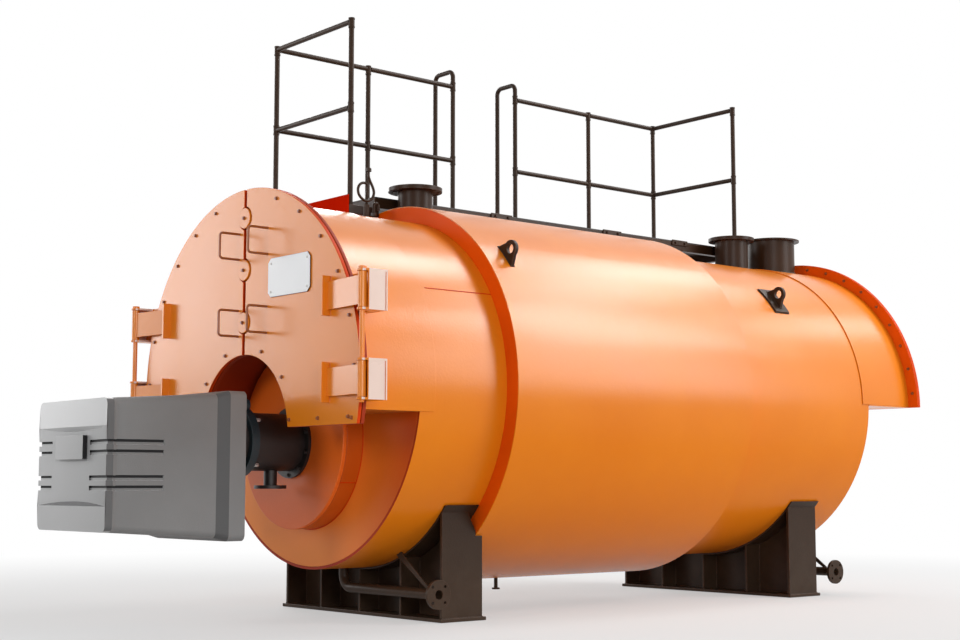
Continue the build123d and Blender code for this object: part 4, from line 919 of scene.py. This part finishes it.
coilStart = Vector((0, coil["pipeY"], coil["stubTop"]))
coilPath = [coilStart] + easeCurve([coilStart] + [coilPoint(0, *corner) for corner in coilIn])
for i in range(1, coil["steps"] + 1):
    turn = radians(90 + coil["sweep"] * i / coil["steps"])
    x = coil["front"] * min(1.0, 2 * i / coil["steps"])
    coilPath.append(coilPoint(x, coil["radius"] * cos(turn), coil["radius"] * sin(turn)))
coilPath += easeCurve([coilPath[-1]] + [coilPoint(coil["front"], *corner) for corner in coilOut])
coilPath.append(Vector((coil["front"], coil["pipeY"], coil["top"])))
hookMiddle = hookPipe["y"] + hookPipe["bend"]
bendHeight = siphonFoot + hookPipe["rise"]
hook = [Vector((0, hookPipe["y"], siphonFoot)), Vector((0, hookPipe["y"], bendHeight))]
for angle in range(15, 181, 15):
    turn = radians(angle)
    hook.append(Vector((0, hookMiddle - hookPipe["bend"] * cos(turn),
                        bendHeight + hookPipe["bend"] * sin(turn))))
hook.append(Vector((0, hookMiddle + hookPipe["bend"], siphonFoot + hookPipe["end"])))
siphonPipe = growAlong("siphonPipe", [coilPath, hook], tubeTree, pipeSize, "boiler")
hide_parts("siphon")
bpy.data.objects.remove(pieceOf.pop("siphon"))
stubEnds = (siphonFoot, coil["stubTop"] - coil["stubGap"])
stubLine = [Vector((0, coil["pipeY"], z)) for z in stubEnds]
growAlong("siphonStub", [stubLine], tubeTree, stubSize, "boiler")
nuts = [(Vector((0, coil["pipeY"], coil["stubTop"] - nutDrop["stub"])), upwards),
        (Vector((coil["front"], coil["pipeY"], coil["top"] - nutDrop["top"])), upwards),
        (Vector((0, hookPipe["y"], siphonFoot + nutDrop["hook"])), upwards)]
growAt("siphonNuts", nuts, boltTree, nutSize, "boiler")

# raised tread bars over the deck, turned left and right in turn
deckLow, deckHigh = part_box("deck_plate")
treads = {"pitch": 0.058, "margin": 0.05}
treadBarSize = {"Length": 0.022, "Width": 0.006, "Height": 0.0028, "Material": deckPaint}
acrossCount = int((deckHigh.x - deckLow.x - 2 * treads["margin"]) / treads["pitch"])
alongCount = int((deckHigh.y - deckLow.y - 2 * treads["margin"]) / treads["pitch"])
bars = []
for i in range(acrossCount + 1):
    for j in range(alongCount + 1):
        place = Vector((deckLow.x + treads["margin"] + i * treads["pitch"],
                        deckLow.y + treads["margin"] + j * treads["pitch"], deckHigh.z))
        bars.append((place, Vector((1, 1 if (i + j) % 2 else -1, 0))))
growAt("deckTreads", bars, treadTree, treadBarSize, "boiler")

# clamp plates along the deck's near edge, each with two bolts
clamps = {"runs": ((1.024, 1.211), (2.074, 2.256), (2.791, 2.956)), "wall": 0.010, "drop": 0.034,
          "rise": 0.006, "round": 0.003, "boltShares": (0.2, 0.8)}
clampBoltSize = {"Washer": 0.013, "Head": 0.010, "Height": 0.008, "Sides": 6, "Material": darkPaint}
work = bmesh.new()
clampBolts = []
for start, end in clamps["runs"]:
    low = Vector((deckHigh.x, start, deckHigh.z - clamps["drop"]))
    high = Vector((deckHigh.x + clamps["wall"], end, deckHigh.z + clamps["rise"]))
    for vert in bmesh.ops.create_cube(work, size=1.0)["verts"]:
        vert.co = Vector([low[i] + (vert.co[i] + 0.5) * (high[i] - low[i]) for i in range(3)])
    for share in clamps["boltShares"]:
        spot = Vector((high.x, start + share * (end - start), (low.z + high.z) / 2))
        clampBolts.append((spot, Vector((1, 0, 0))))
bmesh.ops.bevel(work, geom=work.edges[:], offset=clamps["round"], segments=2, profile=0.5, affect="EDGES")
clampMesh = bpy.data.meshes.new("deckClamps")
work.to_mesh(clampMesh)
work.free()
clampMesh.materials.append(darkPaint)
clampDraft = bpy.data.objects.new("deckClampsDraft", clampMesh)
scene.collection.objects.link(clampDraft)
keepMesh(clampDraft, "deckClamps", "boiler")
growAt("clampBolts", clampBolts, boltTree, clampBoltSize, "boiler")
print("crown pipework and deck made")

# rail fittings: sleeves on the posts, the hoops and the cross rails
fittings = {"middlePosts": (0.646, 2.794), "topDrop": 0.01}
sleeveSize = {"Length": 0.064, "Bore": 0.0192, "Collar": 0.0208, "Material": darkPaint}
postLow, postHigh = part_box("railing_posts")
railLow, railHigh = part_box("top_rails")
ladderLow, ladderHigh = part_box("ladder_stringers")
tube = (railHigh.z - railLow.z) / 2
topHeight = middle("top_rails").z
midHeight = middle("mid_rails").z
farX = postLow.x + tube
corners = [(x, y) for y in (postLow.y + tube, postHigh.y - tube) for x in (postHigh.x - tube, farX)]
sleeves = []
for x, y in corners + [(farX, y) for y in fittings["middlePosts"]]:
    for z in (topHeight - fittings["topDrop"], midHeight):
        sleeves.append((Vector((x, y, z)), upwards))
for y in (ladderLow.y + tube, ladderHigh.y - tube):
    for z in (topHeight, midHeight):
        sleeves.append((Vector((farX, y, z)), upwards))
growAt("railFittings", sleeves, sleeveTree, sleeveSize, "boiler")
print("rail fittings made")


# stage: pale floor that fades to white, white backdrop, soft lamps
studio = {"floorSize": 60.0, "floorLevel": -0.002, "floorTone": 0.60, "middle": (0, 1.0, 0), "fadeFrom": 3.0,
          "fadeTo": 9.0, "fadeLeast": 0.45, "ambient": 0.20}


# rays that see the white background: from the camera, off glossy faces and through glass
def seenRays(tree):
    rays = addNode(tree, "ShaderNodeLightPath").outputs
    passedOn = mathNode(tree, "MAXIMUM", rays["Is Glossy Ray"], rays["Is Transmission Ray"])
    return mathNode(tree, "MAXIMUM", rays["Is Camera Ray"], passedOn)


half = studio["floorSize"] / 2
floorCorners = [(x * half, y * half, studio["floorLevel"]) for x, y in ((-1, -1), (1, -1), (1, 1), (-1, 1))]
floorMesh = bpy.data.meshes.new("floor")
floorMesh.from_pydata(floorCorners, [], [(0, 1, 2, 3)])
floor = bpy.data.objects.new("floor", floorMesh)
scene.collection.objects.link(floor)
floorPaint, floorTree, floorShader = newMaterial(
    "floorPaint", Base_Color=(*[studio["floorTone"]] * 3, 1), Roughness=0.9)
floorReach = addNode(floorTree, "ShaderNodeVectorMath", operation="DISTANCE")
for value, socket in zip((objectPlace(floorTree), studio["middle"]), floorReach.inputs):
    link(floorTree, value, socket)
floorFade = rangeNode(floorTree, floorReach.outputs["Value"], "SMOOTHSTEP", From_Min=studio["fadeFrom"],
                      From_Max=studio["fadeTo"], To_Min=studio["fadeLeast"])
floorWhite = addNode(floorTree, "ShaderNodeEmission")
floorMix = addNode(floorTree, "ShaderNodeMixShader")
floorShare = mathNode(floorTree, "MULTIPLY", seenRays(floorTree), floorFade)
for value, socket in zip((floorShare, floorShader.outputs[0], floorWhite.outputs[0]), floorMix.inputs):
    link(floorTree, value, socket)
setInputs(floorTree.nodes["Material Output"], Surface=floorMix.outputs[0])
floorMesh.materials.append(floorPaint)

world = bpy.data.worlds.new("studio")
scene.world = world
world.use_nodes = True
worldTree = world.node_tree
worldStrength = mathNode(worldTree, "MULTIPLY_ADD", seenRays(worldTree), 1 - studio["ambient"],
                         studio["ambient"])
setInputs(worldTree.nodes["Background"], Color=(1, 1, 1, 1), Strength=worldStrength)

# each softbox: place, aim, width, height and watts
lamps = {"key": ((10.0, -3.5, 2.8), (0.5, 0.5, 1.3), 4.0, 3.0, 305),
         "front": ((1.5, -11.0, 4.0), (0.0, -1.0, 1.6), 3.0, 3.0, 235),
         "leftBox": ((-9.0, -4.9, 4.2), (-0.5, -4.9, 4.2), 2.8, 4.8, 220),
         "leftWing": ((-9.0, -7.2, 4.2), (-0.5, -7.2, 4.2), 1.8, 4.8, 75),
         "crownBox": ((2.3, 8.5, 9.4), (1.0, 0.6, 2.0), 6.6, 2.2, 285),
         "shellBox": ((1.1, 6.3, 11.9), (0.8, -0.2, 2.0), 3.4, 3.2, 330),
         "shoulderBox": ((6.8, 8.1, 7.4), (1.0, 0.6, 2.0), 3.2, 3.6, 335),
         "sideBox": ((8.8, 8.1, 3.9), (1.1, 0.6, 3.9), 4.5, 4.2, 325),
         "tailBox": ((2.9, 10.4, 7.1), (0.9, 3.3, 1.9), 3.0, 1.5, 55),
         "farBox": ((-8.0, 4.0, 6.0), (0.0, 1.5, 1.8), 4.0, 4.0, 320)}
for name, (place, target, width, depth, power) in lamps.items():
    lamp = bpy.data.lights.new(name, "AREA")
    lamp.shape = "RECTANGLE"
    lamp.size = width
    lamp.size_y = depth
    lamp.energy = power
    holder = bpy.data.objects.new(name, lamp)
    holder.location = place
    holder.rotation_euler = (Vector(target) - Vector(place)).to_track_quat("-Z", "Y").to_euler()
    scene.collection.objects.link(holder)
print("stage set")
